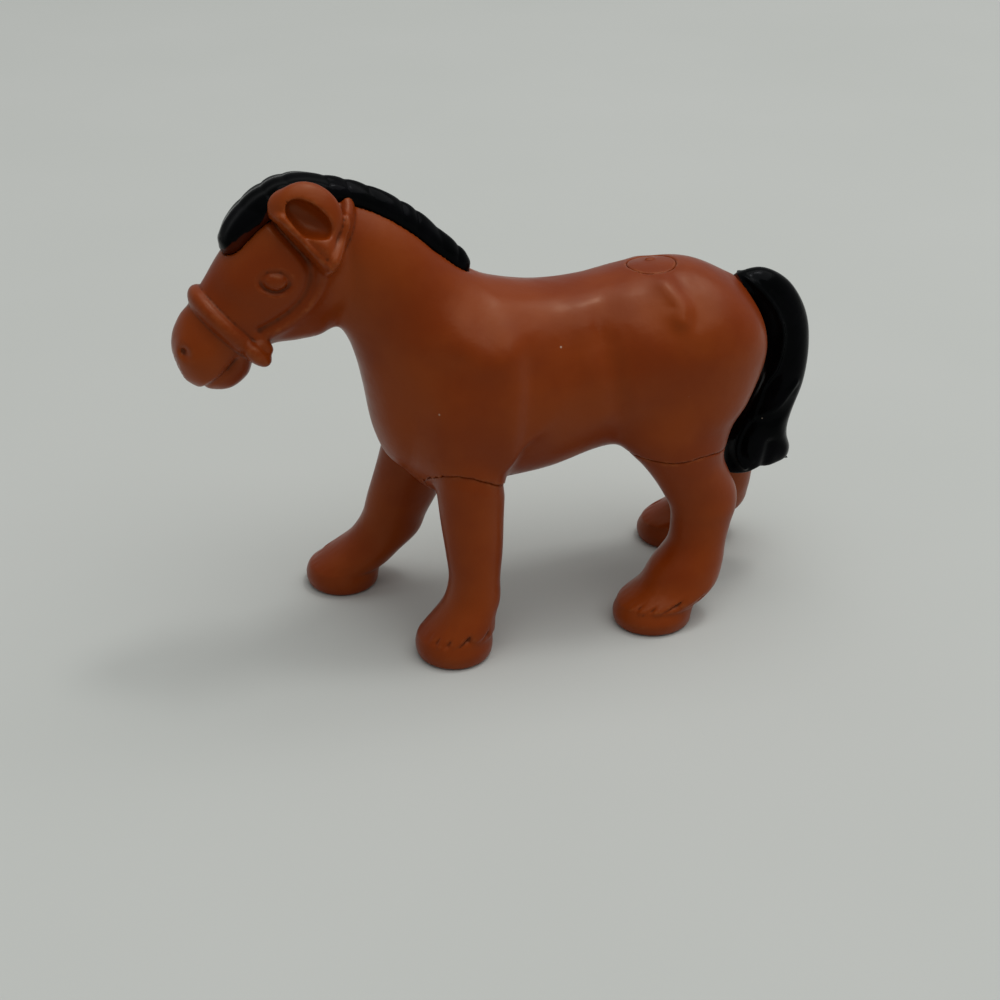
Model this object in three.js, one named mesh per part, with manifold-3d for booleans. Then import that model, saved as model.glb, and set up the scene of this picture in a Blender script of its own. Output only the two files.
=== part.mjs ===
import * as THREE from 'three';
import { mergeVertices } from 'three/addons/utils/BufferGeometryUtils.js';
import Module from 'manifold-3d';

// A small moulded toy horse, standing in mid stride, with a bridle moulded on its head. The torso with
// neck and head is one moulding. The legs, the mane, the tail and the plug on the rump are glued into it
// by pegs. Millimetres, +Z up, nose toward -X, the horse's left side toward -Y, soles on Z = 0.

const wasm = await Module();
wasm.setup();

// Fits between pieces
const glueGap = 0.3;
const overrun = 2;
const weldTolerance = 1e-4;
const slabReachShare = 3;

// Trunk: a barrel from chest to rump
const chestX = -15.3;
const bellyHeight = 14.2;
const trunkLength = 38.8;
const trunkHeight = 19.8;
const trunkWidth = 17.4;

// Neck: rises forward out of the chest
const neckBaseHeight = 21;
const neckRun = 18.5;
const neckRise = 24;
const neckWidth = 14;

// Head: hangs forward and down from the top of the neck
const headReach = 16;
const headDrop = 18.6;
const headWidth = 8.8;

// Ears, lying against the sides of the head
const earLength = 6;
const earWidth = 5;
const earThickness = 2.4;
const earHollowDepth = 1.2;
const farEarDrop = 1;

// Eyes, nostrils and mouth
const eyeLength = 2.8;
const eyeHeight = 2.1;
const eyeRise = 0.45;
const eyeRimRadius = 0.3;
const nostrilWidth = 0.9;
const nostrilHeight = 1.3;
const mouthWidth = 0.5;

// Bridle straps
const noseStrapWidth = 1.8;
const noseStrapRise = 0.6;
const strapRadius = 0.65;
const knobRadius = 1.25;

// Mane: a ridge seated in a groove along the crest
const maneRise = 1.15;
const maneSeat = 1.3;
const maneWidth = 2.9;
const forelockRise = 1.3;
const forelockWidth = 5.2;
const manePegRadius = 0.8;
const manePegLength = 2.6;

// Tail: arches out of the rump and hangs clear of it
const tailReach = 9;
const tailLength = 21.3;
const tailWidth = 5.4;
const tailPegRadius = 1.1;
const tailPegLength = 4;
const tailPegDip = 0.75;

// Legs
const foreSeamHeight = 17;
const hindSeamHeight = 17.2;
const foreRootHeight = 25;
const hindRootHeight = 29;
const foreLegLength = 7;
const foreLegWidth = 7;
const hindLegLength = 7.4;
const hindLegWidth = 7;
const legPegRadius = 1.5;
const legPegLength = 4.2;

// Where each leg stands: its root's place along the trunk, the stride from the root to the sole, the
// places of both beside the middle plane, and how far the joint above the hoof lies behind the line
// between them. A slanting leg is cut level, so it is drawn out there, by a share of its own length
const legPlans = {
  near_foreleg: { side: -1, rootShare: 0.196, stride: -2.1, soleY: 8, rootY: 4.2, bend: 1.5, drawnOut: 0 },
  far_foreleg: { side: 1, rootShare: 0.196, stride: -9.3, soleY: 8.4, rootY: 4.2, bend: 2.7, drawnOut: 0.3 },
  near_hind_leg: { side: -1, rootShare: 0.768, stride: -4, soleY: 8, rootY: 3.9, bend: 3.4, drawnOut: 0 },
  far_hind_leg: { side: 1, rootShare: 0.781, stride: 4, soleY: 7.4, rootY: 3.9, bend: 5.4, drawnOut: 0.1 },
};

// Rump plug
const plugRadius = 2.3;
const plugThickness = 1.1;
const plugStemRadius = 1.2;
const plugStemLength = 3;
const plugAlongShare = 0.705;
const plugNibRadius = 0.5;
const plugNibHeight = 0.4;

// Numbers of faces
const trunkFacets = { sides: 28, rings: 22 };
const neckFacets = { sides: 24, rings: 12 };
const headFacets = { sides: 24, rings: 18 };
const legFacets = { sides: 18, rings: 22 };
const strandFacets = { sides: 14, rings: 24 };
const roundFacets = 18;
const smallFacets = 12;
const cordFacets = 6;

// Turns a geometry into a solid that can be joined and cut
function solid(geometry) {
  const bare = geometry.index ? geometry.clone() : geometry;
  bare.deleteAttribute('normal');
  bare.deleteAttribute('uv');
  const welded = mergeVertices(bare, weldTolerance);
  return new wasm.Manifold(new wasm.Mesh({
    numProp: 3,
    vertProperties: new Float32Array(welded.attributes.position.array),
    triVerts: new Uint32Array(welded.index.array),
  }));
}

function geometryOf(shape) {
  const mesh = shape.getMesh();
  const geometry = new THREE.BufferGeometry();
  geometry.setAttribute('position', new THREE.BufferAttribute(new Float32Array(mesh.vertProperties), 3));
  geometry.setIndex(new THREE.BufferAttribute(new Uint32Array(mesh.triVerts), 1));
  return geometry;
}

// A point of one section's rim: angle 0 is across to +Y, a quarter turn is the section's upper edge
function rimPoint(section, angle, grow = 0) {
  const across = (section.width + grow) * Math.cos(angle);
  const up = (section.height + grow) * Math.sin(angle);
  return section.centre.clone()
    .addScaledVector(section.across, across)
    .addScaledVector(section.up, up);
}

// The closed skin over a row of oval sections, grown outward by the given amount
function skinOver(sections, sides, grow = 0) {
  const positions = [];
  const indices = [];
  const last = sections.length - 1;
  const ends = [[sections[0], sections[1]], [sections[last], sections[last - 1]]];
  for (const section of sections) {
    for (let side = 0; side < sides; side += 1) {
      const point = rimPoint(section, (side / sides) * Math.PI * 2, grow);
      positions.push(point.x, point.y, point.z);
    }
  }
  for (const [end, inner] of ends) {
    const outward = end.centre.clone().sub(inner.centre).normalize();
    const tip = end.centre.clone().addScaledVector(outward, grow);
    positions.push(tip.x, tip.y, tip.z);
  }
  const startTip = sections.length * sides;
  const endTip = startTip + 1;
  for (let side = 0; side < sides; side += 1) {
    const next = (side + 1) % sides;
    for (let ring = 0; ring < last; ring += 1) {
      const a = ring * sides + side;
      const b = ring * sides + next;
      indices.push(a, b, b + sides, a, b + sides, a + sides);
    }
    indices.push(startTip, next, side);
    indices.push(endTip, last * sides + side, last * sides + next);
  }
  const geometry = new THREE.BufferGeometry();
  geometry.setAttribute('position', new THREE.Float32BufferAttribute(positions, 3));
  geometry.setIndex(indices);
  return outwardSolid(geometry);
}

// Reverses the faces of a skin that came out inside out
function outwardSolid(geometry) {
  const place = geometry.attributes.position;
  const index = geometry.index;
  const [a, b, c] = [new THREE.Vector3(), new THREE.Vector3(), new THREE.Vector3()];
  let volume = 0;
  for (let i = 0; i < index.count; i += 3) {
    a.fromBufferAttribute(place, index.getX(i));
    b.fromBufferAttribute(place, index.getX(i + 1));
    c.fromBufferAttribute(place, index.getX(i + 2));
    volume += a.dot(b.cross(c));
  }
  if (volume < 0) {
    const flipped = [];
    for (let i = 0; i < index.count; i += 3) {
      flipped.push(index.getX(i), index.getX(i + 2), index.getX(i + 1));
    }
    geometry.setIndex(flipped);
  }
  return solid(geometry);
}

// Spreads rings evenly along a smooth line through the given sections
function curvesOf(stations) {
  const curve = (pick) => new THREE.CatmullRomCurve3(stations.map(pick), false, 'catmullrom');
  return {
    centres: curve((station) => station.centre),
    ups: curve((station) => station.up),
    acrosses: curve((station) => station.across),
    sizes: curve((station) => new THREE.Vector3(station.width, station.height, 0)),
  };
}

function smoothed(stations, rings) {
  const curves = curvesOf(stations);
  return Array.from({ length: rings + 1 }, (_, ring) => sectionAt(ring / rings, curves));
}

function sectionAt(share, { centres, ups, acrosses, sizes }) {
  const size = sizes.getPoint(share);
  return {
    centre: centres.getPoint(share),
    up: ups.getPoint(share).normalize(),
    across: acrosses.getPoint(share).normalize(),
    width: size.x,
    height: size.y,
  };
}

// A section in the horse's middle plane, between two points of its side outline
function profileSection(upper, lower, width) {
  const centre = upper.clone().add(lower).multiplyScalar(0.5);
  return {
    centre,
    up: upper.clone().sub(lower).normalize(),
    across: new THREE.Vector3(0, 1, 0),
    width,
    height: upper.distanceTo(lower) / 2,
  };
}

// Sections from a table of shares of a box: upper x, upper z, lower x, lower z, half width
function profileFrom(shares, box) {
  const point = (x, z) => new THREE.Vector3(box.x + x * box.length, 0, box.z + z * box.height);
  return shares.map(([ux, uz, lx, lz, half]) => (
    profileSection(point(ux, uz), point(lx, lz), half * box.width / 2)
  ));
}

// Trunk, from the chest (0) to the rump (1); heights from the belly line (0) to the croup (1)
const trunkShares = [
  [0.035, 0.42, 0.035, 0.26, 0.35],
  [0.055, 0.56, 0.055, 0.15, 0.62],
  [0.095, 0.75, 0.095, 0.06, 0.84],
  [0.165, 0.92, 0.165, 0, 0.93],
  [0.29, 0.98, 0.29, 0.02, 0.96],
  [0.42, 0.945, 0.42, 0.045, 0.93],
  [0.55, 0.95, 0.55, 0.115, 0.93],
  [0.68, 0.99, 0.68, 0.13, 0.97],
  [0.8, 0.985, 0.8, 0.18, 0.96],
  [0.895, 0.915, 0.895, 0.29, 0.85],
  [0.96, 0.8, 0.96, 0.4, 0.62],
  [1, 0.65, 1, 0.53, 0.2],
];
const trunkBox = { x: chestX, z: bellyHeight, length: trunkLength, height: trunkHeight, width: trunkWidth };
const trunkSections = smoothed(profileFrom(trunkShares, trunkBox), trunkFacets.rings);

// Neck, from inside the chest to inside the skull; the first pair is the crest, the second the throat
const neckShares = [
  [1.25, 0.46, 0.44, -0.14, 1.1],
  [0.99, 0.49, 0.33, -0.03, 0.98],
  [0.85, 0.575, 0.28, 0.17, 0.87],
  [0.67, 0.695, 0.25, 0.28, 0.73],
  [0.49, 0.82, 0.205, 0.38, 0.62],
  [0.27, 0.915, 0.12, 0.48, 0.55],
  [0.05, 0.965, 0.03, 0.6, 0.5],
  [-0.04, 0.86, -0.03, 0.76, 0.2],
];
const neckAheadShare = 0.31;
const neckBox = {
  x: chestX - neckAheadShare * neckRun,
  z: neckBaseHeight,
  length: neckRun,
  height: neckRise,
  width: neckWidth,
};
const neckStations = profileFrom(neckShares, neckBox);

const neckSections = smoothed(neckStations, neckFacets.rings);

// Head, from inside the neck to the tip of the muzzle; the first pair is the forehead, the second the jaw
const headShares = [
  [0.99, 0.9, 1.04, 0.52, 0.45],
  [0.92, 0.945, 0.98, 0.335, 0.82],
  [0.745, 0.96, 0.87, 0.245, 0.97],
  [0.53, 0.87, 0.725, 0.225, 1],
  [0.34, 0.69, 0.575, 0.22, 0.92],
  [0.23, 0.555, 0.48, 0.165, 0.78],
  [0.145, 0.45, 0.43, 0.07, 0.72],
  [0.085, 0.39, 0.32, 0.01, 0.76],
  [0.04, 0.31, 0.2, 0.02, 0.68],
  [0.025, 0.235, 0.1, 0.08, 0.42],
  [0.035, 0.195, 0.06, 0.135, 0.16],
];
const skullBackShare = 0.2;
const headBox = {
  x: neckBox.x + skullBackShare * neckRun - headReach,
  z: neckBaseHeight + neckRise - headDrop,
  length: headReach,
  height: headDrop,
  width: headWidth,
};
const headStations = profileFrom(headShares, headBox);
const headSections = smoothed(headStations, headFacets.rings);

// Where a side view's point lies on the near side of the head or neck
const skinSections = [...headSections, ...neckSections];
function sidePoint(xShare, zShare, side) {
  const x = headBox.x + xShare * headReach;
  const z = headBox.z + zShare * headDrop;
  let half = 0;
  for (const section of skinSections) {
    const forward = section.up.clone().cross(section.across);
    const offset = new THREE.Vector3(x - section.centre.x, 0, z - section.centre.z);
    const up = offset.dot(section.up) / section.height;
    if (Math.abs(offset.dot(forward)) < strapRadius && Math.abs(up) < 1) {
      half = Math.max(half, section.width * Math.sqrt(1 - up * up));
    }
  }
  return new THREE.Vector3(x, side * half, z);
}

function placed(geometry, position, rotation = new THREE.Euler()) {
  geometry.applyMatrix4(new THREE.Matrix4().makeRotationFromEuler(rotation).setPosition(position));
  return solid(geometry);
}

function ball(radii, position, rotation, facets = smallFacets) {
  const geometry = new THREE.SphereGeometry(1, facets, Math.round(facets / 2));
  return placed(geometry.scale(radii.x, radii.y, radii.z), position, rotation);
}

// A round rod from one point to another
function rod(from, to, radius) {
  const axis = to.clone().sub(from);
  const geometry = new THREE.CylinderGeometry(radius, radius, axis.length(), roundFacets);
  const turn = new THREE.Quaternion().setFromUnitVectors(new THREE.Vector3(0, 1, 0), axis.normalize());
  geometry.applyQuaternion(turn);
  geometry.translate((from.x + to.x) / 2, (from.y + to.y) / 2, (from.z + to.z) / 2);
  return solid(geometry);
}

// A round cord along a smooth line through points
function cordThrough(points, radius, stepsPerSpan = 2) {
  const outline = new THREE.Shape();
  outline.absarc(0, 0, radius, 0, Math.PI * 2);
  const extrudePath = new THREE.CatmullRomCurve3(points);
  const steps = stepsPerSpan * (points.length - 1);
  const curveSegments = cordFacets / 2;
  const settings = { steps, extrudePath, curveSegments, bevelEnabled: false };
  return solid(new THREE.ExtrudeGeometry(outline, settings));
}

// Everything above or below a height
function slab(bottom, top) {
  const reach = slabReachShare * trunkLength;
  const geometry = new THREE.BoxGeometry(reach, reach, top - bottom);
  return placed(geometry, new THREE.Vector3(0, 0, (top + bottom) / 2));
}

// Ear: a thick leaf on the side of the head with a slanting hollow, its tip leaning in to the mane
const earTilt = { lean: 0.75, inward: 0.3 };
const earPlaceShares = [0.785, 0.855];
const earSeatShare = 0.2;
const earHollowShares = { length: 0.7, width: 0.54, slant: 0.05 };

function earPlace(side) {
  const place = sidePoint(...earPlaceShares, side);
  place.z -= side > 0 ? farEarDrop : 0;
  return place;
}

function ear(side) {
  const place = earPlace(side);
  place.y -= side * earThickness * earSeatShare;
  const turn = new THREE.Euler(side * earTilt.inward, -earTilt.lean, 0);
  const radii = new THREE.Vector3(earWidth / 2, earThickness / 2, earLength / 2);
  return ball(radii, place, turn, roundFacets);
}

function earHollow(side) {
  const place = earPlace(side);
  place.y += side * earThickness * (0.5 - earSeatShare);
  const turn = new THREE.Euler(side * earTilt.inward, -earTilt.lean - earHollowShares.slant, 0);
  const { length, width } = earHollowShares;
  const radii = new THREE.Vector3(width * earWidth / 2, earHollowDepth, length * earLength / 2);
  return ball(radii, place, turn);
}

// Eye: an oval bulge inside an oval rim
const eyePlaceShares = [0.577, 0.597];
const eyeBallShare = 0.55;
const eyeSlant = 0.15;

function eye(side) {
  const place = sidePoint(...eyePlaceShares, side);
  const turn = new THREE.Euler(0, eyeSlant, 0);
  const radii = new THREE.Vector3(eyeBallShare * eyeLength / 2, eyeRise, eyeBallShare * eyeHeight / 2);
  const rim = new THREE.TorusGeometry(eyeLength / 2, eyeRimRadius, cordFacets, roundFacets);
  rim.rotateX(Math.PI / 2);
  rim.scale(1, 1, eyeHeight / eyeLength);
  return ball(radii, place, turn).add(placed(rim, place, turn));
}

// Muzzle: a nostril pit on each side and the line of the mouth
const nostrilPlaceShares = [0.077, 0.255];
const mouthLineShares = [[0.15, 0.045], [0.233, 0.113], [0.296, 0.156], [0.346, 0.199]];

function nostril(side) {
  const place = sidePoint(...nostrilPlaceShares, side);
  return ball(new THREE.Vector3(nostrilWidth / 2, nostrilWidth / 2, nostrilHeight / 2), place);
}

function mouth(side) {
  const points = mouthLineShares.map(([x, z]) => sidePoint(x, z, side));
  return cordThrough(points, mouthWidth / 2);
}

// Bridle: a noseband all round the head, then on each side a knob, a cheek strap up to the knot below
// the ear, a brow strap and a strap behind the ear
const noseBandShare = 0.55;
const noseBandTilt = 0.1;
const noseBandSteps = [[-0.5, 0.2], [-0.3, 0.85], [0, 1], [0.3, 0.85], [0.5, 0.2]];
const knobShares = [0.48, 0.24];
const cheekStrapShares = [[0.5, 0.31], [0.608, 0.366], [0.715, 0.441], [0.79, 0.52], [0.85, 0.63]];
const browStrapShares = [[0.86, 0.64], [0.802, 0.704], [0.715, 0.796], [0.65, 0.865]];
const crownStrapShares = [[0.86, 0.64], [0.921, 0.704], [0.99, 0.785], [1.033, 0.866], [1.035, 0.93]];
const knotShares = [0.865, 0.645];

function noseBand() {
  const middle = sectionAt(noseBandShare, curvesOf(headStations));
  middle.up.applyAxisAngle(middle.across, -noseBandTilt);
  const forward = middle.up.clone().cross(middle.across);
  const rings = noseBandSteps.map(([along, rise]) => ({
    ...middle,
    centre: middle.centre.clone().addScaledVector(forward, along * noseStrapWidth),
    width: middle.width + rise * noseStrapRise,
    height: middle.height + rise * noseStrapRise,
  }));
  return skinOver(rings, headFacets.sides);
}

function bridleSide(side) {
  const strap = (shares) => cordThrough(shares.map(([x, z]) => sidePoint(x, z, side)), strapRadius);
  const knobRadii = new THREE.Vector3(knobRadius, knobRadius, knobRadius);
  return ball(knobRadii, sidePoint(...knobShares, side))
    .add(ball(knobRadii, sidePoint(...knotShares, side)))
    .add(strap(cheekStrapShares))
    .add(strap(browStrapShares))
    .add(strap(crownStrapShares));
}

// Mane: follows the forehead and the crest, from the forelock's tip to the withers. Rise and width at
// each place are shares of the mane's own sizes, and two places have a peg under them
const forelockStartShare = 0.28;
const forelockReachShare = 0.36;
const maneEndShare = 0.65;
const withersReachShare = 0.3;
const [, , pollStation, foreheadStation, browStation] = headStations;
const [, , shoulderStation, lowerNeckStation, midNeckStation, upperNeckStation] = neckStations;
const crestPoints = [
  upperEdge(browStation).lerp(upperEdge(foreheadStation), forelockStartShare),
  upperEdge(foreheadStation),
  upperEdge(pollStation),
  upperEdge(upperNeckStation),
  upperEdge(midNeckStation),
  upperEdge(lowerNeckStation),
  upperEdge(lowerNeckStation).lerp(upperEdge(shoulderStation), maneEndShare),
];
const maneShares = [
  { rise: 0.25, seat: 0.3, width: 0.4, forelock: true },
  { rise: 0.85, seat: 0.8, width: 0.82, forelock: true },
  { rise: 1, seat: 1, width: 1, forelock: true },
  { rise: 0.9, seat: 1, width: 0.95, forelock: true },
  { rise: 1, seat: 1, width: 1, pegged: true },
  { rise: 1, seat: 1, width: 0.98 },
  { rise: 1, seat: 1, width: 0.95, pegged: true },
  { rise: 0.75, seat: 0.9, width: 0.75 },
  { rise: 0.2, seat: 0.3, width: 0.3 },
];

function upperEdge(section) {
  return section.centre.clone().addScaledVector(section.up, section.height);
}

function maneStationList() {
  const first = crestPoints[0].clone().lerp(crestPoints[1], -forelockReachShare);
  const last = crestPoints.at(-1).clone().lerp(crestPoints.at(-2), -withersReachShare);
  const line = [first, ...crestPoints, last];
  return line.map((point, index) => {
    const before = line[Math.max(index - 1, 0)];
    const after = line[Math.min(index + 1, line.length - 1)];
    const along = after.clone().sub(before).normalize();
    const outward = new THREE.Vector3(-along.z, 0, along.x);
    const { forelock, pegged, ...share } = maneShares[index];
    const rise = share.rise * (forelock ? forelockRise : maneRise);
    const seat = share.seat * maneSeat;
    const upper = point.clone().addScaledVector(outward, rise);
    const lower = point.clone().addScaledVector(outward, -seat);
    const width = share.width * (forelock ? forelockWidth : maneWidth) / 2;
    return { ...profileSection(upper, lower, width), pegged };
  });
}

const maneStations = maneStationList();

function manePegs(grow = 0) {
  return maneStations.filter(({ pegged }) => pegged).map(({ centre, up, height }) => {
    const foot = centre.clone().addScaledVector(up, -height - manePegLength - grow);
    return rod(foot, centre, manePegRadius + grow);
  }).reduce((all, peg) => all.add(peg));
}

function maneSolid(grow = 0) {
  return skinOver(smoothed(maneStations, strandFacets.rings), strandFacets.sides, grow).add(manePegs(grow));
}

// Tail: the outer and the inner edge of its side outline, from the root in the rump to the blunt end
const tailShares = [
  [0.01, 0.97, 0.065, 0.88, 0.42],
  [0.195, 0.995, 0.2, 0.86, 0.5],
  [0.455, 1, 0.31, 0.81, 0.66],
  [0.74, 0.925, 0.4, 0.735, 0.8],
  [0.94, 0.785, 0.465, 0.655, 0.9],
  [1, 0.625, 0.5, 0.57, 0.96],
  [0.965, 0.455, 0.48, 0.465, 1],
  [0.86, 0.305, 0.335, 0.34, 1],
  [0.805, 0.19, 0.2, 0.22, 1],
  [0.87, 0.11, 0.1, 0.1, 0.94],
  [0.83, 0.062, 0.13, 0.005, 0.72],
  [0.66, 0.04, 0.25, -0.005, 0.35],
];
const tailRootShares = { along: 0.905, height: 0.91 };
const tailBox = {
  x: chestX + tailRootShares.along * trunkLength,
  z: bellyHeight + tailRootShares.height * trunkHeight - tailLength,
  length: tailReach,
  height: tailLength,
  width: tailWidth,
};
const tailStations = profileFrom(tailShares, tailBox);

function tailSolid(grow = 0) {
  const root = tailStations[1].centre;
  const inward = new THREE.Vector3(-Math.cos(tailPegDip), 0, -Math.sin(tailPegDip));
  const pegEnd = tailStations[0].centre.clone().addScaledVector(inward, tailPegLength + grow);
  return skinOver(smoothed(tailStations, strandFacets.rings), strandFacets.sides, grow)
    .add(rod(root, pegEnd, tailPegRadius + grow));
}

// Legs, from the sole up to the root. Columns: height, lean toward the sole's place, bend, half length
// and half width, all as shares of the leg's own sizes
const foreLegShares = [
  [0, 1, 0, 0.9, 0.9],
  [0.014, 1, 0, 0.99, 0.99],
  [0.048, 1, 0, 1.03, 1.03],
  [0.084, 0.99, 0.06, 1.01, 0.98],
  [0.104, 0.97, 0.28, 0.98, 1],
  [0.16, 0.92, 0.76, 0.8, 0.95],
  [0.22, 0.86, 1.16, 0.74, 0.84],
  [0.3, 0.78, 1.24, 0.69, 0.77],
  [0.4, 0.66, 1.14, 0.77, 0.78],
  [0.52, 0.5, 0.92, 0.85, 0.83],
  [0.664, 0.34, 0.7, 0.92, 0.88],
  [0.8, 0.18, 0.25, 0.9, 0.85],
  [0.94, 0.05, 0, 0.6, 0.6],
  [1, 0, 0, 0.2, 0.2],
];
const hindLegShares = [
  [0, 1, 0, 0.9, 0.9],
  [0.012, 1, 0, 0.98, 0.98],
  [0.041, 1, 0, 1, 1.02],
  [0.072, 0.98, 0.08, 1.03, 0.97],
  [0.088, 0.96, 0.18, 1.1, 1],
  [0.131, 0.9, 0.64, 1.06, 0.95],
  [0.193, 0.82, 0.84, 0.98, 0.88],
  [0.262, 0.74, 1.06, 0.79, 0.76],
  [0.328, 0.66, 1.12, 0.81, 0.74],
  [0.38, 0.6, 1.12, 0.89, 0.78],
  [0.434, 0.53, 0.94, 0.99, 0.8],
  [0.49, 0.46, 0.62, 1.03, 0.86],
  [0.545, 0.38, 0.27, 1.11, 0.95],
  [0.593, 0.3, 0.02, 1.32, 1.05],
  [0.662, 0.2, -0.2, 1.64, 1.15],
  [0.741, 0.1, -0.08, 1.88, 1.25],
  [0.845, 0, 0, 1.9, 1.25],
  [0.948, 0, 0, 1.3, 1],
  [1, 0, 0, 0.5, 0.4],
];
const foreLeg = {
  shares: foreLegShares,
  root: foreRootHeight,
  seam: foreSeamHeight,
  length: foreLegLength,
  width: foreLegWidth,
};
const hindLeg = {
  shares: hindLegShares,
  root: hindRootHeight,
  seam: hindSeamHeight,
  length: hindLegLength,
  width: hindLegWidth,
};
const legKinds = {
  near_foreleg: foreLeg,
  far_foreleg: foreLeg,
  near_hind_leg: hindLeg,
  far_hind_leg: hindLeg,
};

function legSections(name) {
  const { side, rootShare, stride, soleY, rootY, bend, drawnOut } = legPlans[name];
  const { shares, root, length, width } = legKinds[name];
  const rootX = chestX + rootShare * trunkLength;
  const stations = shares.map(([height, lean, bendShare, lengthShare, widthShare]) => ({
    centre: new THREE.Vector3(
      rootX + lean * stride + bendShare * bend,
      side * (rootY + lean * (soleY - rootY)),
      height * root,
    ),
    up: new THREE.Vector3(-1, 0, 0),
    across: new THREE.Vector3(0, 1, 0),
    width: widthShare * width / 2,
    height: lengthShare * length * (1 + drawnOut * bendShare) / 2,
  }));
  return smoothed(stations, legFacets.rings);
}

function legSkin(name, grow = 0) {
  return skinOver(legSections(name), legFacets.sides, grow);
}

// The peg stands on the leg's seam face, where the leg's middle passes it
function legPeg(name, grow = 0) {
  const { seam } = legKinds[name];
  const sections = legSections(name);
  const at = sections.find((section) => section.centre.z >= seam).centre;
  const foot = new THREE.Vector3(at.x, at.y, seam - legPegLength / 2);
  const head = new THREE.Vector3(at.x, at.y, seam + legPegLength + grow);
  return rod(foot, head, legPegRadius + grow);
}

function legSolid(name) {
  const { seam, root } = legKinds[name];
  return legSkin(name).subtract(slab(seam, root + overrun)).add(legPeg(name));
}

// The pocket in the trunk that the leg's top sits in
function legPocket(name) {
  const { seam, root } = legKinds[name];
  return legSkin(name, glueGap).subtract(slab(seam + glueGap, root + overrun)).add(legPeg(name, glueGap));
}

function legUpper(name) {
  return legSkin(name).subtract(slab(-overrun, legKinds[name].seam));
}

// Plug: a disc with a stem, flush with the croup, and a rough nib on its far edge
const plugX = chestX + plugAlongShare * trunkLength;
const plugTop = trunkSections.reduce((best, section) => (
  Math.abs(section.centre.x - plugX) < Math.abs(best.centre.x - plugX) ? section : best
));
const plugHeight = upperEdge(plugTop).z;

function plugBlank(grow, top) {
  const at = (z) => new THREE.Vector3(plugX, 0, z);
  const discFoot = plugHeight - plugThickness - grow;
  return rod(at(discFoot), at(top), plugRadius + grow)
    .add(rod(at(discFoot - plugStemLength), at(plugHeight - plugThickness / 2), plugStemRadius + grow));
}

function plugSolid(trunkSkin) {
  const nibY = plugRadius - 2 * plugNibRadius;
  const nibFoot = new THREE.Vector3(plugX, nibY, plugHeight - plugThickness);
  const nibTop = new THREE.Vector3(plugX, nibY, plugHeight + plugNibHeight);
  return plugBlank(0, plugHeight + overrun).intersect(trunkSkin).add(rod(nibFoot, nibTop, plugNibRadius));
}

const trunkSkin = skinOver(trunkSections, trunkFacets.sides);
const legNames = Object.keys(legPlans);

function bodySolid() {
  let body = trunkSkin
    .add(skinOver(neckSections, neckFacets.sides))
    .add(skinOver(headSections, headFacets.sides))
    .add(noseBand());
  for (const side of [-1, 1]) {
    body = body.add(bridleSide(side)).add(ear(side)).add(eye(side));
    body = body.subtract(earHollow(side)).subtract(nostril(side)).subtract(mouth(side));
  }
  for (const name of legNames) {
    body = body.add(legUpper(name));
  }
  for (const name of legNames) {
    body = body.subtract(legPocket(name));
  }
  return body
    .subtract(maneSolid(glueGap))
    .subtract(tailSolid(glueGap))
    .subtract(plugBlank(glueGap, plugHeight + overrun));
}

const brownPvc = { color: 0x8a4427, roughness: 0.42, metalness: 0 };
const blackPaint = { color: 0x0b0c0d, roughness: 0.22, metalness: 0 };

function piece(name, shape, finish) {
  const mesh = new THREE.Mesh(geometryOf(shape), new THREE.MeshStandardMaterial(finish));
  mesh.name = name;
  return mesh;
}

const horse = new THREE.Group();
horse.add(piece('body', bodySolid(), brownPvc));
for (const name of legNames) {
  horse.add(piece(name, legSolid(name), brownPvc));
}
horse.add(piece('rump_plug', plugSolid(trunkSkin), brownPvc));
horse.add(piece('mane', maneSolid(), blackPaint));
horse.add(piece('tail', tailSolid(), blackPaint));

// The origin is under the middle of the whole toy
const box = new THREE.Box3().setFromObject(horse);
const middle = box.getCenter(new THREE.Vector3());
horse.position.set(-middle.x, -middle.y, -box.min.z);

export default horse;
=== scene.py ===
# A small moulded toy horse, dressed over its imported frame: brown soft PVC, with a black painted mane
# and tail. Lengths are millimetres in the toy's own frame (x toward the tail, y away from the camera,
# z up). makePiece moves them by frameOffset and turns them to metres.
import bpy
import numpy as np
from math import radians
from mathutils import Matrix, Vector


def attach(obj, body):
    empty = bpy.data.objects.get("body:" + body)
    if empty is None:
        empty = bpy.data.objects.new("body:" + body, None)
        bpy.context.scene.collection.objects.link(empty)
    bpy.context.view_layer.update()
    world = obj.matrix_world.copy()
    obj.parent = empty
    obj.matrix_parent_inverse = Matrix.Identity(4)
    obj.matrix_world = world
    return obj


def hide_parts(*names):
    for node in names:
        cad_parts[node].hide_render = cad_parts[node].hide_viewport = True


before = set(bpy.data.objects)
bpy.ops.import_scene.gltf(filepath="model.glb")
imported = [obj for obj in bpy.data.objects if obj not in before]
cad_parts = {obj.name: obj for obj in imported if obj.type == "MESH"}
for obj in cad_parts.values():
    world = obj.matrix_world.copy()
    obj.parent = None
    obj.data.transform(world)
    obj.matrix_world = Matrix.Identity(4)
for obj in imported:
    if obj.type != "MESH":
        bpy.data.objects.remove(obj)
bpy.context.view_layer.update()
print("frame loaded:", ", ".join(sorted(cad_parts)))

frameOffset = np.array([2.0839, -0.2001, 0.0])
coarse = 1.0     # above 1 makes every grid coarser
farOff = 9.0     # a field's value where no form is near
ringCount = {"body": 80, "hair": 110, "leg": 160}


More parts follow.
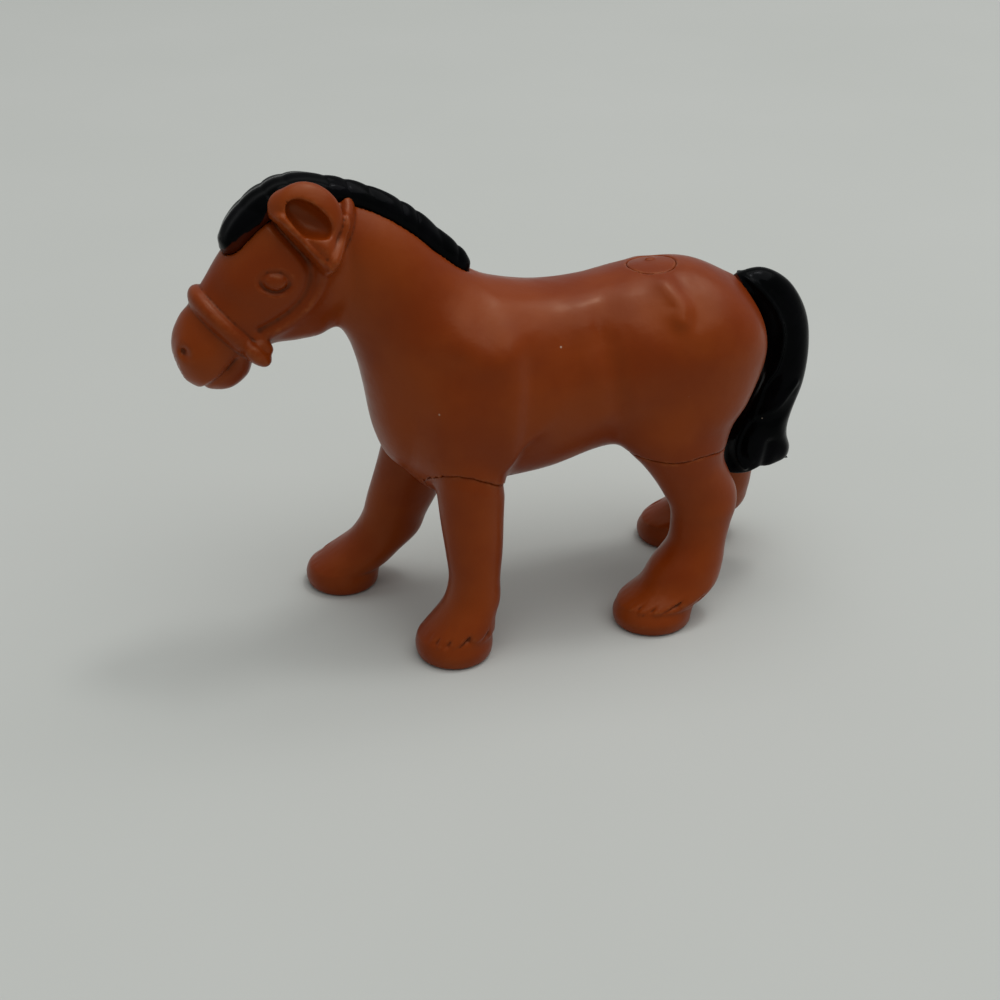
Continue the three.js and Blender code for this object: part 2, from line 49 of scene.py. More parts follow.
# Smooth line through the rows of a table, read at even steps. On each span it is
# p1 + t(p2-p0)/2 + t²(2p0-5p1+4p2-p3)/2 + t³(3p1-p0-3p2+p3)/2
def throughRows(rows, count):
    rows = np.asarray(rows, float)
    padded = np.vstack([2 * rows[0] - rows[1], rows, 2 * rows[-1] - rows[-2]])
    place = np.linspace(0, len(rows) - 1, count)
    span = np.minimum(place.astype(int), len(rows) - 2)
    t = (place - span)[:, None]
    p0, p1, p2, p3 = (padded[span + step] for step in range(4))
    curve = t**2 * (2 * p0 - 5 * p1 + 4 * p2 - p3) + t**3 * (3 * p1 - p0 - 3 * p2 + p3)
    return p1 + (t * (p2 - p0) + curve) / 2


# Rises from 0 at low to 1 at high as 3t²-2t³
def easeUp(value, low, high):
    t = np.clip((value - low) / (high - low), 0, 1)
    return t * t * (3 - 2 * t)


# The lesser of two distances, with the corner between them filled over a width of soft:
# min(a, b) - soft/6 · max(1 - |a-b|/soft, 0)³
def softMin(a, b, soft):
    overlap = np.maximum(1 - np.abs(a - b) / soft, 0)
    return np.minimum(a, b) - overlap**3 * soft / 6


def softMax(a, b, soft):
    return -softMin(-a, -b, soft)


# Distance to an oval or an ellipsoid, from the offsets off its middle and its half axes:
# (r-1)·r/|slope of r|, where r is 1 on it
def roundDistance(offsets, radii):
    reach = np.sqrt(sum((off / radius)**2 for off, radius in zip(offsets, radii)))
    slope = np.sqrt(sum((off / radius**2)**2 for off, radius in zip(offsets, radii)))
    least = np.minimum.reduce(np.broadcast_arrays(*radii))
    return (reach - 1) * np.where(slope > 1e-4, reach / np.maximum(slope, 1e-4), least)


# Distance to an ellipsoid whose top leans forward by lean and toward +y by inward
def ballDistance(axes, centre, radii, lean=0.0, inward=0.0):
    x, y, z = np.meshgrid(*(axis - middle for axis, middle in zip(axes, centre)), indexing="ij")
    y, z = y * np.cos(inward) - z * np.sin(inward), y * np.sin(inward) + z * np.cos(inward)
    x, z = x * np.cos(lean) + z * np.sin(lean), z * np.cos(lean) - x * np.sin(lean)
    return roundDistance((x, y, z), radii)


# Rings of a loft in the middle plane. Each row of shares gives the upper edge, the lower edge and the
# half width, as shares of a box
def sideLoft(shares, box, count):
    shares = np.asarray(shares, float)
    corner = np.array([box["x"], box["z"]])
    size = np.array([box["length"], box["height"]])
    upper = corner + shares[:, 0:2] * size
    lower = corner + shares[:, 2:4] * size
    rows = throughRows(np.column_stack([upper, lower, shares[:, 4] * box["width"] / 2]), count)
    return ringsOf(rows[:, 0:2], rows[:, 2:4], rows[:, 4])


def ringsOf(upper, lower, half):
    middle = (upper + lower) / 2
    height = np.linalg.norm(upper - lower, axis=1) / 2
    up = (upper - lower) / (2 * height[:, None])
    ahead = np.column_stack([up[:, 1], -up[:, 0]])
    step = np.gradient(middle, axis=0)
    ahead *= np.sign((ahead * step).sum(1).mean())
    travel = np.concatenate([[0], np.cumsum(np.linalg.norm(np.diff(middle, axis=0), axis=1))])
    return {"middle": middle, "up": up, "ahead": ahead, "height": height, "half": half, "travel": travel}


# For each point of the side view, the ring it lies on: how far above the ring's middle it is, the
# ring's half height and half width, the way travelled along the loft and the depth behind its end
def readLoft(loft, x, z):
    dx = x[None, :, None] - loft["middle"][:, 0, None, None]
    dz = z[None, None, :] - loft["middle"][:, 1, None, None]
    ahead, rise = (
        dx * loft[way][:, 0, None, None] + dz * loft[way][:, 1, None, None] for way in ("ahead", "up"))
    between = (ahead[:-1] >= 0) & (ahead[1:] < 0)
    cost = np.where(between, np.abs(rise[:-1]) / loft["height"][:-1, None, None], np.inf)
    ring = cost.argmin(0)
    found = np.isfinite(cost.min(0))
    last = len(loft["half"]) - 1
    nearStart = dx[0]**2 + dz[0]**2 < dx[-1]**2 + dz[-1]**2
    ring = np.where(found, ring, np.where(nearStart, 0, last - 1))
    pick = lambda values, index: np.take_along_axis(values, index[None], 0)[0]
    here, there = pick(ahead, ring), pick(ahead, ring + 1)
    share = np.where(found, here / np.maximum(here - there, 1e-9), np.where(nearStart, 0.0, 1.0))
    mixed = lambda values: values[ring] * (1 - share) + values[ring + 1] * share
    travel = mixed(loft["travel"])
    inside = np.minimum(travel, loft["travel"][-1] - travel)
    beyond = np.where(nearStart, np.maximum(-ahead[0], 0), np.maximum(ahead[-1], 0))
    return {
        "rise": pick(rise, ring) * (1 - share) + pick(rise, ring + 1) * share,
        "height": mixed(loft["height"]),
        "half": mixed(loft["half"]),
        "travel": travel,
        "depth": np.where(found, inside, -beyond),
    }


# Distance to a loft: to the oval of the ring a point lies on, and to the loft's ends
def loftDistance(loft, axes):
    x, y, z = axes
    side = readLoft(loft, x, z)
    flat = {name: values[:, None, :] for name, values in side.items()}
    oval = roundDistance((flat["rise"], y[None, :, None]), (flat["height"], flat["half"]))
    ended = np.hypot(np.maximum(oval, 0), flat["depth"])
    return np.where(flat["depth"] < 0, ended, np.maximum(oval, -flat["depth"]))


# Distance of each point of the side view to a line: plain, and signed (+ on the line's right, seen
# from the near side), with the share of the way along the line
def lineDistance(x, z, points, count=24):
    line = throughRows(points, count) if len(points) > 2 else np.asarray(points, float)
    best = np.full((len(x), len(z)), np.inf)
    signed = np.zeros_like(best)
    along = np.zeros_like(best)
    for index in range(len(line) - 1):
        start = line[index]
        way = line[index + 1] - start
        dx = x[:, None] - start[0]
        dz = z[None, :] - start[1]
        share = np.clip((dx * way[0] + dz * way[1]) / (way @ way), 0, 1)
        off = np.hypot(dx - share * way[0], dz - share * way[1])
        nearer = off < best
        best = np.where(nearer, off, best)
        signed = np.where(nearer, np.sign(way[1] * dx - way[0] * dz) * off, signed)
        along = np.where(nearer, (index + share) / (len(line) - 1), along)
    return best, signed, along


# Relief of one stroke on the side view. A fold is rise·exp(-(d/width)²), a strap is a round cord
# rise·(1-(d/width)²)^0.8, and an edge drops by rise on its right side and comes back over width
def strokeRelief(x, z, kind, points, rise, width):
    off, signed, along = lineDistance(x, z, points)
    ends = easeUp(along, 0, 0.3) * easeUp(1 - along, 0, 0.3)
    if kind == "fold":
        return rise * np.exp(-(off / width)**2)
    if kind == "strap":
        return rise * np.clip(1 - (off / width)**2, 0, 1)**0.8
    drop = easeUp(signed, -0.5 * width, 0.5 * width) * np.exp(-(np.maximum(signed, 0) / (2 * width))**2)
    return -rise * drop * ends


def reliefOf(x, z, strokes):
    total = np.zeros((len(x), len(z)))
    for kind, points, rise, width in strokes:
        total += strokeRelief(x, z, kind, points, rise, width)
    return total


# Field helpers. A field holds, at each point of a grid, the distance to the toy's skin, below 0 inside
def changeInside(field, axes, low, high, changed):
    part = tuple(slice(*np.searchsorted(axis, (a, b))) for axis, a, b in zip(axes, low, high))
    near = [axis[cut] for axis, cut in zip(axes, part)]
    if min(len(axis) for axis in near):
        field[part] = changed(field[part], near)


def joinInto(field, axes, low, high, distanceAt, soft):
    changeInside(field, axes, low, high, lambda part, near: softMin(part, distanceAt(near), soft))


# Steps of one axis of a grid: each span is (from, to, step)
def gridAxis(*spans):
    parts = [np.arange(start, stop - step * coarse / 2, step * coarse) for start, stop, step in spans]
    return np.concatenate([*parts, [spans[-1][1]]])


# Trunk, neck and head: the rows go from the chest to the rump, up the neck, and down to the muzzle. Each
# is worked out in the box around, joined over a width of soft, and its strokes show within reliefIn
trunk = {
    "around": ((-20, -12, 11), (60, 12, 38)), "soft": 1,
    "box": {"x": -15.3, "z": 14.2, "length": 38.8, "height": 19.8, "width": 17.4},
    "shares": [
        [0.07, 0.44, 0.07, 0.24, 0.3], [0.09, 0.58, 0.09, 0.14, 0.56], [0.125, 0.76, 0.125, 0.05, 0.8],
        [0.185, 0.93, 0.185, 0, 0.92], [0.29, 0.98, 0.29, 0.02, 0.96], [0.42, 0.955, 0.42, 0.045, 0.93],
        [0.55, 0.965, 0.55, 0.115, 0.93], [0.68, 1.003, 0.68, 0.13, 0.97], [0.8, 0.998, 0.8, 0.18, 0.96],
        [0.895, 0.92, 0.895, 0.29, 0.85], [0.96, 0.8, 0.96, 0.4, 0.62], [1, 0.65, 1, 0.53, 0.2],
    ],
    # Strokes fade in away from the middle plane, and are fainter on the far side
    "reliefIn": ((-24, -12, 14), (24, 12, 40)), "strokeFade": (1.2, 4.2), "farStrength": 0.4,
    "strokes": [
        ("edge", [(-3.6, 16.6), (-3.5, 20), (-3.2, 24), (-2.9, 27.4), (-3.1, 31.2)], 0.5, 1.9),
        ("fold", [(-4.8, 18), (-4.5, 24), (-4.4, 29)], 0.16, 1.5),
        ("edge", [(5.6, 32.4), (5.9, 29.6), (6.4, 26.8), (6.9, 23.8), (7.6, 18.6)], 0.6, 2.3),
        ("fold", [(3.5, 30.5), (4.1, 27), (4.9, 22.5)], 0.18, 1.3),
        ("fold", [(-8, 30.8), (-6.2, 29.8), (-4.4, 30.4)], 0.62, 2.2),
        ("fold", [(-4, 33.3), (0, 32.9), (4, 32.6), (8.6, 33)], 0.14, 1.2),
        ("fold", [(11.9, 33.3), (12.7, 32), (12.5, 30.9)], 0.36, 0.9),
        ("fold", [(13.6, 33), (14.3, 31.7), (14, 30.5)], -0.15, 0.8),
        ("fold", [(9.6, 31.6), (11.2, 30)], -0.15, 1.4),
        ("fold", [(15.1, 33), (15.4, 31.2)], -0.14, 1),
        ("fold", [(6, 31.4), (6.8, 27.6)], -0.2, 1.5),
        ("fold", [(-17.6, 33), (-14.6, 28.4), (-13, 24)], -0.2, 1.5),
        ("fold", [(-10.6, 30), (-11, 26), (-10, 21)], 0.18, 2.2),
    ],
    "allRound": [],
}
neck = {
    "around": ((-30, -12, 14), (8, 12, 60)), "soft": 4,
    "box": {"x": -21.035, "z": 21, "length": 18.5, "height": 24, "width": 14},
    "shares": [
        [1.32, 0.28, 0.64, -0.285, 1.12], [1.22, 0.42, 0.43, -0.165, 1.08], [0.99, 0.49, 0.33, -0.03, 0.98],
        [0.85, 0.575, 0.28, 0.17, 0.87], [0.67, 0.695, 0.25, 0.28, 0.73], [0.49, 0.82, 0.205, 0.38, 0.62],
        [0.27, 0.915, 0.12, 0.48, 0.55], [0.05, 0.965, 0.03, 0.6, 0.5], [-0.04, 0.86, -0.03, 0.76, 0.2],
    ],
}
head = {
    "around": ((-36, -8, 22), (-11, 8, 50)), "soft": 2.2,
    "box": {"x": -33.335, "z": 26.4, "length": 16, "height": 18.6, "width": 8.8},
    "shares": [
        [0.99, 0.9, 1.04, 0.52, 0.45], [0.92, 0.945, 0.98, 0.335, 0.82], [0.745, 0.96, 0.87, 0.245, 0.97],
        [0.53, 0.87, 0.725, 0.225, 1], [0.34, 0.69, 0.575, 0.22, 0.92], [0.23, 0.555, 0.48, 0.165, 0.78],
        [0.145, 0.45, 0.43, 0.07, 0.72], [0.085, 0.39, 0.32, 0.01, 0.76], [0.04, 0.31, 0.2, 0.02, 0.68],
        [0.025, 0.235, 0.09, 0.075, 0.42], [0.035, 0.195, 0.055, 0.135, 0.16],
    ],
    "reliefIn": ((-34, -8, 24), (-13, 8, 47)), "strokeFade": (0.6, 1.9), "farStrength": 1,
    "strokes": [
        ("fold", [(-23.6, 42.2), (-22.3, 40.6), (-21.2, 39), (-21, 37.6), (-21.7, 35.9), (-23.3, 34.3),
                  (-25.5, 33)], -0.42, 0.5),
        ("strap", [(-23.4, 43), (-21.9, 41), (-20.4, 39.3), (-19.7, 38.4)], 0.42, 0.6),
        ("fold", [(-20, 37.4), (-20.7, 36.1), (-21.9, 34.6), (-23.6, 33.2), (-25.9, 32.1)], 0.38, 0.75),
        ("strap", [(-16.8, 44.3), (-17, 43), (-17.6, 41.4), (-18.4, 40.2), (-19.3, 39.2)], 0.55, 0.72),
        ("fold", [(-20, 38.3), (-19.2, 39.4)], 0.36, 1),
        ("fold", [(-20, 40.5), (-19.3, 39)], 0.6, 1.1),
        ("fold", [(-18.1, 39), (-17.2, 36.8), (-17.4, 34.4), (-18.8, 32.4)], -0.14, 1),
        ("fold", [(-30.6, 30.6), (-30.2, 31.2)], 0.22, 1.3),
        ("fold", [(-20.8, 35.2), (-20.4, 36.2)], 0.22, 1.8),
        ("fold", [(-28.6, 36), (-26.2, 35)], -0.2, 1.2),
    ],
    "allRound": [
        ("edge", [(-31, 26.2), (-30.5, 27.6), (-29.6, 28.5), (-28.6, 29.3), (-27.8, 30.1), (-27, 31.2)],
         0.42, 0.8),
        ("fold", [(-31, 26.2), (-30.5, 27.6), (-29.6, 28.5), (-28.6, 29.3), (-27.8, 30.1)], -0.3, 0.28),
        ("fold", [(-28.5, 29.5), (-27.6, 30.7)], -0.12, 0.5),
        ("strap", [(-32.2, 37.25), (-25.35, 29.9)], 0.7, 0.88),
    ],
}
eye = {
    "x": -24.1, "z": 37.5, "length": 1.55, "height": 1.15, "turn": 0.1,
    "lidRise": 0.07, "grooveDepth": 0.24, "ballRise": 0.28, "ballShare": 0.62,
}
nostril = {
    "x": -32.1, "z": 31.2, "radius": 0.3, "depth": 0.55,
    "rimRise": 0.08, "rimRadius": 0.7, "rimWidth": 0.35,
}
knob = {"x": -25.7, "y": 3.3, "z": 31.05, "radii": (1.2, 0.85, 0.85), "soft": 0.5}
# Ears: balls on each side, joined over a width of soft, apart from the hollow, which is cut. Rows are
# place, half axes, turn toward the middle, how far the far side's is sunk, and soft
earLean = 0.75
ear = {
    "leaf": ((-20.55, 3.8, 43.15), (2.35, 1.15, 2.95), 0.3, 1.6, 1.7),
    "root": ((-22.5, 2.9, 43.3), (1.55, 1.0, 1.75), 0.3, 1.6, 1.9),
    "knot": ((-19.9, 4.35, 40.3), (1.2, 1.1, 1.5), 0, 0, 0.8),
    "hollow": ((-20.95, 4.65, 42.75), (1.32, 1.45, 2.45), 0.58, 1.6, 0.25),
}
# Swelling where the tail leaves the rump
tailRoot = {
    "at": (20.2, 0, 30.4), "radii": (1.5, 1.35, 1.15), "soft": 2, "around": ((16, -4, 26), (25, 4, 35)),
}

# Legs: columns are height, lean toward the sole's place, bend, half length and half width
foreLeg = {
    "spanX": (-26, 4), "rootY": 4.2, "soft": 1.3, "root": 25, "seam": 17, "gap": 0.025, "inset": 0.16,
    "length": 7, "width": 7,
    "shares": [
        [0, 1, 0, 0.92, 0.95], [0.014, 1, 0, 1.01, 1.04], [0.048, 1, 0, 1.05, 1.08],
        [0.084, 0.99, 0.06, 1.02, 1.02], [0.104, 0.97, 0.28, 0.98, 1], [0.16, 0.92, 0.76, 0.8, 0.95],
        [0.22, 0.86, 1.16, 0.74, 0.84], [0.3, 0.78, 1.24, 0.69, 0.77], [0.4, 0.66, 1.14, 0.77, 0.78],
        [0.52, 0.5, 0.92, 0.85, 0.83], [0.664, 0.34, 0.7, 0.92, 0.88], [0.8, 0.18, 0.25, 0.9, 0.85],
        [0.94, 0.05, 0, 0.6, 0.6], [1, 0, 0, 0.2, 0.2],
    ],
}
hindLeg = {
    "spanX": (2, 30), "rootY": 3.9, "soft": 1.8, "root": 29, "seam": 17.2, "gap": 0.012, "inset": 0.03,
    "length": 7.4, "width": 7,
    "shares": [
        [0, 1, -0.03, 0.94, 0.93], [0.012, 1, -0.03, 1.02, 1.02], [0.041, 1, -0.03, 1.05, 1.06],
        [0.072, 0.98, 0.06, 1.07, 0.97], [0.088, 0.96, 0.18, 1.1, 1], [0.131, 0.9, 0.64, 1.06, 0.95],
        [0.193, 0.82, 0.84, 0.98, 0.88], [0.262, 0.74, 1.06, 0.79, 0.76], [0.328, 0.66, 1.12, 0.81, 0.74],
        [0.38, 0.6, 1.12, 0.89, 0.78], [0.434, 0.53, 0.94, 0.99, 0.8], [0.49, 0.46, 0.62, 1.03, 0.86],
        [0.545, 0.38, 0.27, 1.11, 0.95], [0.593, 0.3, 0.02, 1.32, 1.05], [0.662, 0.2, -0.2, 1.64, 1.15],
        [0.741, 0.1, -0.08, 1.88, 1.25], [0.845, 0, 0, 1.9, 1.25], [0.948, 0, 0, 1.3, 1],
        [1, 0, 0, 0.5, 0.4],
    ],
}
legs = {
    "near_foreleg": {"kind": foreLeg, "side": -1, "rootX": -7.695, "stride": -2.1, "soleY": 8,
                     "bend": 1.5, "drawnOut": 0, "slant": 1},
    "far_foreleg": {"kind": foreLeg, "side": 1, "rootX": -7.695, "stride": -9.3, "soleY": 8.4,
                    "bend": 2.7, "drawnOut": 0.3, "slant": 0},
    "near_hind_leg": {"kind": hindLeg, "side": -1, "rootX": 14.498, "stride": -4, "soleY": 8,
                      "bend": 3.4, "drawnOut": 0},
    "far_hind_leg": {"kind": hindLeg, "side": 1, "rootX": 15.003, "stride": 4, "soleY": 7.4,
                     "bend": 5.4, "drawnOut": 0.1},
}
seamGap = 0.025              # hairline between glued pieces
seamSoft = 0.04              # rounding of its edges
pocketWall = 1.2             # the leg's pocket in the trunk stands this far off the leg's plain form
insetBand = (-1.5, -0.1)     # heights from the seam between which a leg's skin draws in by its inset
legPegSize = {"radius": 1.5, "below": 2.1, "above": 4.2}
# The foreleg's seam: how far it rises off level at each place before and behind the leg's middle
foreSeam = {
    "dx": (-3.9, -3.4, -2.8, -1.7, -0.4, 1.1, 2.5, 3.6),
    "rise": (-0.7, 0.4, 1.2, 1.45, 1.2, 0.5, -0.35, -0.7),
}
hindSeamWave = 0.15


def legRings(leg):
    kind = leg["kind"]
    height, lean, bend, length, width = np.asarray(kind["shares"], float).T
    rows = np.column_stack([
        height * kind["root"],
        leg["rootX"] + lean * leg["stride"] + bend * leg["bend"],
        leg["side"] * (kind["rootY"] + lean * (leg["soleY"] - kind["rootY"])),
        length * kind["length"] * (1 + leg["drawnOut"] * bend) / 2,
        width * kind["width"] / 2,
    ])
    return throughRows(rows, ringCount["leg"]).T


# Distance to a leg's plain form, and the way round it: each height has its own oval, read from the rings
def plainLeg(leg, axes):
    x, y, z = axes
    heights, *columns = legRings(leg)
    middleX, middleY, halfX, halfY = (np.interp(z, heights, column) for column in columns)
    offX = x[:, None, None] - middleX
    offY = y[None, :, None] - middleY
    return roundDistance((offX, offY), (halfX, halfY)), np.arctan2(offY / halfY, offX / halfX)


def legDistance(leg, axes):
    z = axes[2]
    oval, turn = plainLeg(leg, axes)
    oval -= tuftRelief(turn, z, leg["side"])
    return np.maximum(np.maximum(oval, -z), z - leg["kind"]["root"])


# Hair over the hoof: above a zigzag line the skin stands proud, and the line dips where a lock ends
tufts = {
    "height": 2.75, "dip": 0.7, "sway": 0.25, "locks": 15, "lockRise": 0.05, "rise": 0.1, "fade": 1.8,
    "pitDepth": 0.42, "pitHeight": 0.27, "outerTurn": 1.65,
}


# turn is the way round the leg. The pits lie where locks meet, deepest on the leg's outer side
def tuftRelief(turn, z, side):
    wave = np.abs(np.sin(turn * tufts["locks"] / 2 + 1.3 * np.sin(2.3 * turn) + side))
    line = tufts["height"] - tufts["dip"] * (wave - 0.5) + tufts["sway"] * np.sin(3 * turn + side)
    over = easeUp(z - line, -0.15, 0.2) * (1 - easeUp(z - line, 0.2, tufts["fade"]))
    pit = np.exp(-((z - line + 0.1) / tufts["pitHeight"])**2) * (1 - wave)**1.5
    outer = easeUp(np.cos(turn - tufts["outerTurn"] * side), 0.35, 0.8)
    deep = tufts["pitDepth"] * outer * (0.5 + 0.5 * easeUp(np.sin(5.3 * turn + 2 * side), -0.5, 0.9))
    lock = tufts["lockRise"] * (wave - 0.6) * easeUp(z - line, 0, 0.4) * (1 - easeUp(z - line, 0.6, 1.6))
    return tufts["rise"] * over * (0.3 + 0.7 * outer) + lock * (0.2 + 0.8 * outer) - pit * deep


print("writing the form of the moulded body")
trunkLoft, neckLoft, headLoft = (
    sideLoft(form["shares"], form["box"], ringCount["body"]) for form in (trunk, neck, head))


# Eye in the side view: a lid ring, a groove inside it and a round ball, by r = distance in ovals
def eyeRelief(x, z):
    dx, dz = x[:, None] - eye["x"], z[None, :] - eye["z"]
    turned = dx * np.cos(eye["turn"]) - dz * np.sin(eye["turn"])
    raised = dx * np.sin(eye["turn"]) + dz * np.cos(eye["turn"])
    r = np.hypot(turned / eye["length"], raised / eye["height"])
    lid = eye["lidRise"] * np.exp(-((r - 1.05) / 0.18)**2)
    groove = -eye["grooveDepth"] * np.exp(-((r - 0.8) / 0.2)**2) * (0.5 + 0.8 * easeUp(-raised, -0.4, 0.5))
    ball = eye["ballRise"] * np.sqrt(np.clip(1 - (r / eye["ballShare"])**2, 0, 1))
    return lid + groove + ball


# Nostril: an upright pit -depth·exp(-(d/radius)²) with a low rim round it
def nostrilRelief(x, z):
    off = np.hypot(x[:, None] - nostril["x"], (z[None, :] - nostril["z"]) * 0.75)
    pit = -nostril["depth"] * np.exp(-(off / nostril["radius"])**2)
    return pit + nostril["rimRise"] * np.exp(-((off - nostril["rimRadius"]) / nostril["rimWidth"])**2)


def earDistance(ball, side, axes):
    (x, y, z), radii, inward, drop, _ = ball
    centre = (x, side * y, z - (drop if side > 0 else 0))
    return ballDistance(axes, centre, radii, earLean, -side * inward)


# Relief of the trunk or the head: strokes on both sides, and straps and mouth all round
def formRelief(form, axes):
    x, y, z = axes
    relief = reliefOf(x, z, form["strokes"])
    if form is head:
        relief += eyeRelief(x, z) + nostrilRelief(x, z)
    spread = easeUp(np.abs(y), *form["strokeFade"]) * np.where(y > 0, form["farStrength"], 1)
    return reliefOf(x, z, form["allRound"])[:, None, :] + relief[:, None, :] * spread[None, :, None]


# The whole moulded skin, legs included, on any grid
def skinField(axes):
    x, y, z = axes
    field = np.full((len(x), len(y), len(z)), farOff)
    for form, loft in ((trunk, trunkLoft), (neck, neckLoft), (head, headLoft)):
        joinInto(field, axes, *form["around"], lambda near: loftDistance(loft, near), form["soft"])
    for leg in legs.values():
        kind = leg["kind"]
        low, high = (kind["spanX"][0], -14, -2), (kind["spanX"][1], 14, kind["root"] + 3)
        joinInto(field, axes, low, high, lambda near: legDistance(leg, near), kind["soft"])
    for side in (-1, 1):
        inner, outer = (-9, 0) if side < 0 else (0, 9)
        place = (knob["x"], side * knob["y"], knob["z"])
        joinInto(field, axes, (-30, inner, 27), (-22, outer, 36),
                 lambda near: ballDistance(near, place, knob["radii"]), knob["soft"])
        low, high = (-27, inner, 36), (-15, outer, 48)
        for ball in (ear["leaf"], ear["root"], ear["knot"]):
            joinInto(field, axes, low, high, lambda near: earDistance(ball, side, near), ball[-1])
        changeInside(field, axes, low, high, lambda part, near: softMax(
            part, -earDistance(ear["hollow"], side, near), ear["hollow"][-1]))
    joinInto(field, axes, *tailRoot["around"],
             lambda near: ballDistance(near, tailRoot["at"], tailRoot["radii"]), tailRoot["soft"])
    for form in (trunk, head):
        changeInside(field, axes, *form["reliefIn"], lambda part, near: part - formRelief(form, near))
    return field


# Mane: rings along the forehead and the crest. Rows are rise, seat and width as shares, and the first
# four are the forelock. It starts partway between two rows of the head's edge and ends partway between
# two of the neck's. Above brownLine it is painted
mane = {
    "foreheadShare": 0.28, "withersShare": 0.65, "overFront": 0.36, "overBack": 0.3,
    "rise": 1.35, "seat": 1.3, "width": 2.9, "forelockRise": 1.42, "forelockWidth": 5.2,
    "shares": [
        [0.25, 0.3, 0.4], [0.85, 0.8, 0.82], [1, 1, 1], [0.9, 1, 0.95], [1, 1, 1], [1, 1, 0.98],
        [1, 1, 0.95], [0.75, 0.9, 0.75], [0.2, 0.3, 0.3],
    ],
    "lockLength": 2.3, "lockRise": 0.09, "lockSlant": 1.1, "lockSway": 0.5, "grooveDepth": 0.3,
    "grooveWidth": 0.25, "crownRise": 0.05, "crownWave": 1.7,
    "pegRadius": 0.8, "pegLength": 2.6, "pegRows": (4, 6),
    "brownLine": [
        (-29.5, 38.6), (-28.3, 39.5), (-27.5, 40.4), (-26.1, 41.6), (-24.8, 42.2), (-24.2, 43.2),
        (-23.4, 44), (-22.4, 44.5), (-21, 44.6), (-19.7, 44.2), (-18.3, 43.5), (-16.9, 42.4),
        (-15.6, 41),
    ],
}
tail = {
    "box": {"x": 19.814, "z": 10.918, "length": 9, "height": 21.3, "width": 5.4},
    "shares": [
        [0.01, 0.955, 0.065, 0.88, 0.4], [0.195, 0.995, 0.2, 0.86, 0.5], [0.455, 1, 0.31, 0.81, 0.66],
        [0.74, 0.925, 0.4, 0.735, 0.8], [0.94, 0.785, 0.465, 0.655, 0.9], [1, 0.625, 0.5, 0.57, 0.96],
        [0.965, 0.455, 0.48, 0.465, 1], [0.86, 0.305, 0.335, 0.34, 1], [0.805, 0.19, 0.2, 0.22, 1],
        [0.87, 0.11, 0.1, 0.1, 0.94], [0.83, 0.062, 0.13, 0.005, 0.72], [0.66, 0.04, 0.25, -0.005, 0.35],
    ],
    "strokes": [
        ("fold", [(21.2, 32.1), (22.7, 30.7), (24.15, 28.95), (25.05, 26.8), (25.2, 24.8), (24.85, 22.4),
                  (24, 20.5), (23.3, 18.8), (22.7, 17.5), (22, 16.2), (21.5, 14.9), (21.3, 13.7),
                  (21.6, 12.7), (22.3, 11.9)], 0.32, 0.24),
        ("fold", [(23.9, 30.2), (25.4, 27.8), (25.9, 25.2), (25.4, 22.2), (24.4, 19.6)], -0.12, 0.5),
        ("fold", [(26.8, 21), (26.1, 20.1), (25, 18.7), (23.7, 17.9), (22.7, 17.3)], 0.2, 0.3),
        ("fold", [(26.5, 19), (25.6, 17.9), (24.4, 17)], -0.1, 0.5),
        ("fold", [(22.4, 15.2), (22.3, 13.9), (22.9, 12.8)], 0.1, 0.2),
        ("fold", [(25, 16.4), (26.3, 14.4), (26.6, 12.6)], 0.3, 0.9),
        ("fold", [(24.5, 14.6), (24.3, 12.8), (24.25, 10.6)], -0.35, 0.55),
    ],
    "strokeFade": (0.3, 1.4), "pegRing": 8, "pegRadius": 1.1, "pegLength": 4, "pegDip": 0.75,
    "notch": {"at": (23.8, 0, 10.6), "radii": (1, 3.5, 1.25), "soft": 0.5},
    "nib": {"at": (27.35, 0.2, 11.6), "radii": (0.75, 0.3, 0.17), "lean": -0.4, "soft": 0.25},
}
plug = {
    "x": 12.054, "top": 33.98, "radius": 2.3, "thick": 1.1, "stem": 1.2, "stemLength": 3,
    "inset": 0.05, "soft": 0.2, "blankOver": 3,     # the blank stands over the skin, which trims it
    "nib": {"at": (0.2, 0.85, 0.08), "radii": (0.5, 0.3, 0.14)},
}


def edgePoint(part, row):
    shares, box = part["shares"][row], part["box"]
    return np.array([box["x"] + shares[0] * box["length"], box["z"] + shares[1] * box["height"]])


def maneRows():
    crest = [edgePoint(head, row) for row in (4, 3, 2)] + [edgePoint(neck, row) for row in (6, 5, 4, 3)]
    crest[0] = crest[0] + mane["foreheadShare"] * (crest[1] - crest[0])
    crest[-1] = crest[-2] + mane["withersShare"] * (crest[-1] - crest[-2])
    first = crest[0] - mane["overFront"] * (crest[1] - crest[0])
    last = crest[-1] - mane["overBack"] * (crest[-2] - crest[-1])
    line = np.array([first, *crest, last])
    along = np.vstack([line[1] - line[0], line[2:] - line[:-2], line[-1] - line[-2]])
    along /= np.linalg.norm(along, axis=1)[:, None]
    outward = np.column_stack([-along[:, 1], along[:, 0]])
    rise, seat, width = np.asarray(mane["shares"]).T
    forelock = np.arange(len(line)) < 4
    rise = rise * np.where(forelock, mane["forelockRise"], mane["rise"])
    width = width * np.where(forelock, mane["forelockWidth"], mane["width"]) / 2
    upper = line + outward * rise[:, None]
    lower = line - outward * (seat * mane["seat"])[:, None]
    return upper, lower, width


maneUpper, maneLower, maneHalf = maneRows()
maneRings = throughRows(np.column_stack([maneUpper, maneLower, maneHalf]), ringCount["hair"])
maneLoft = ringsOf(maneRings[:, 0:2], maneRings[:, 2:4], maneRings[:, 4])
tailLoft = sideLoft(tail["shares"], tail["box"], ringCount["hair"])


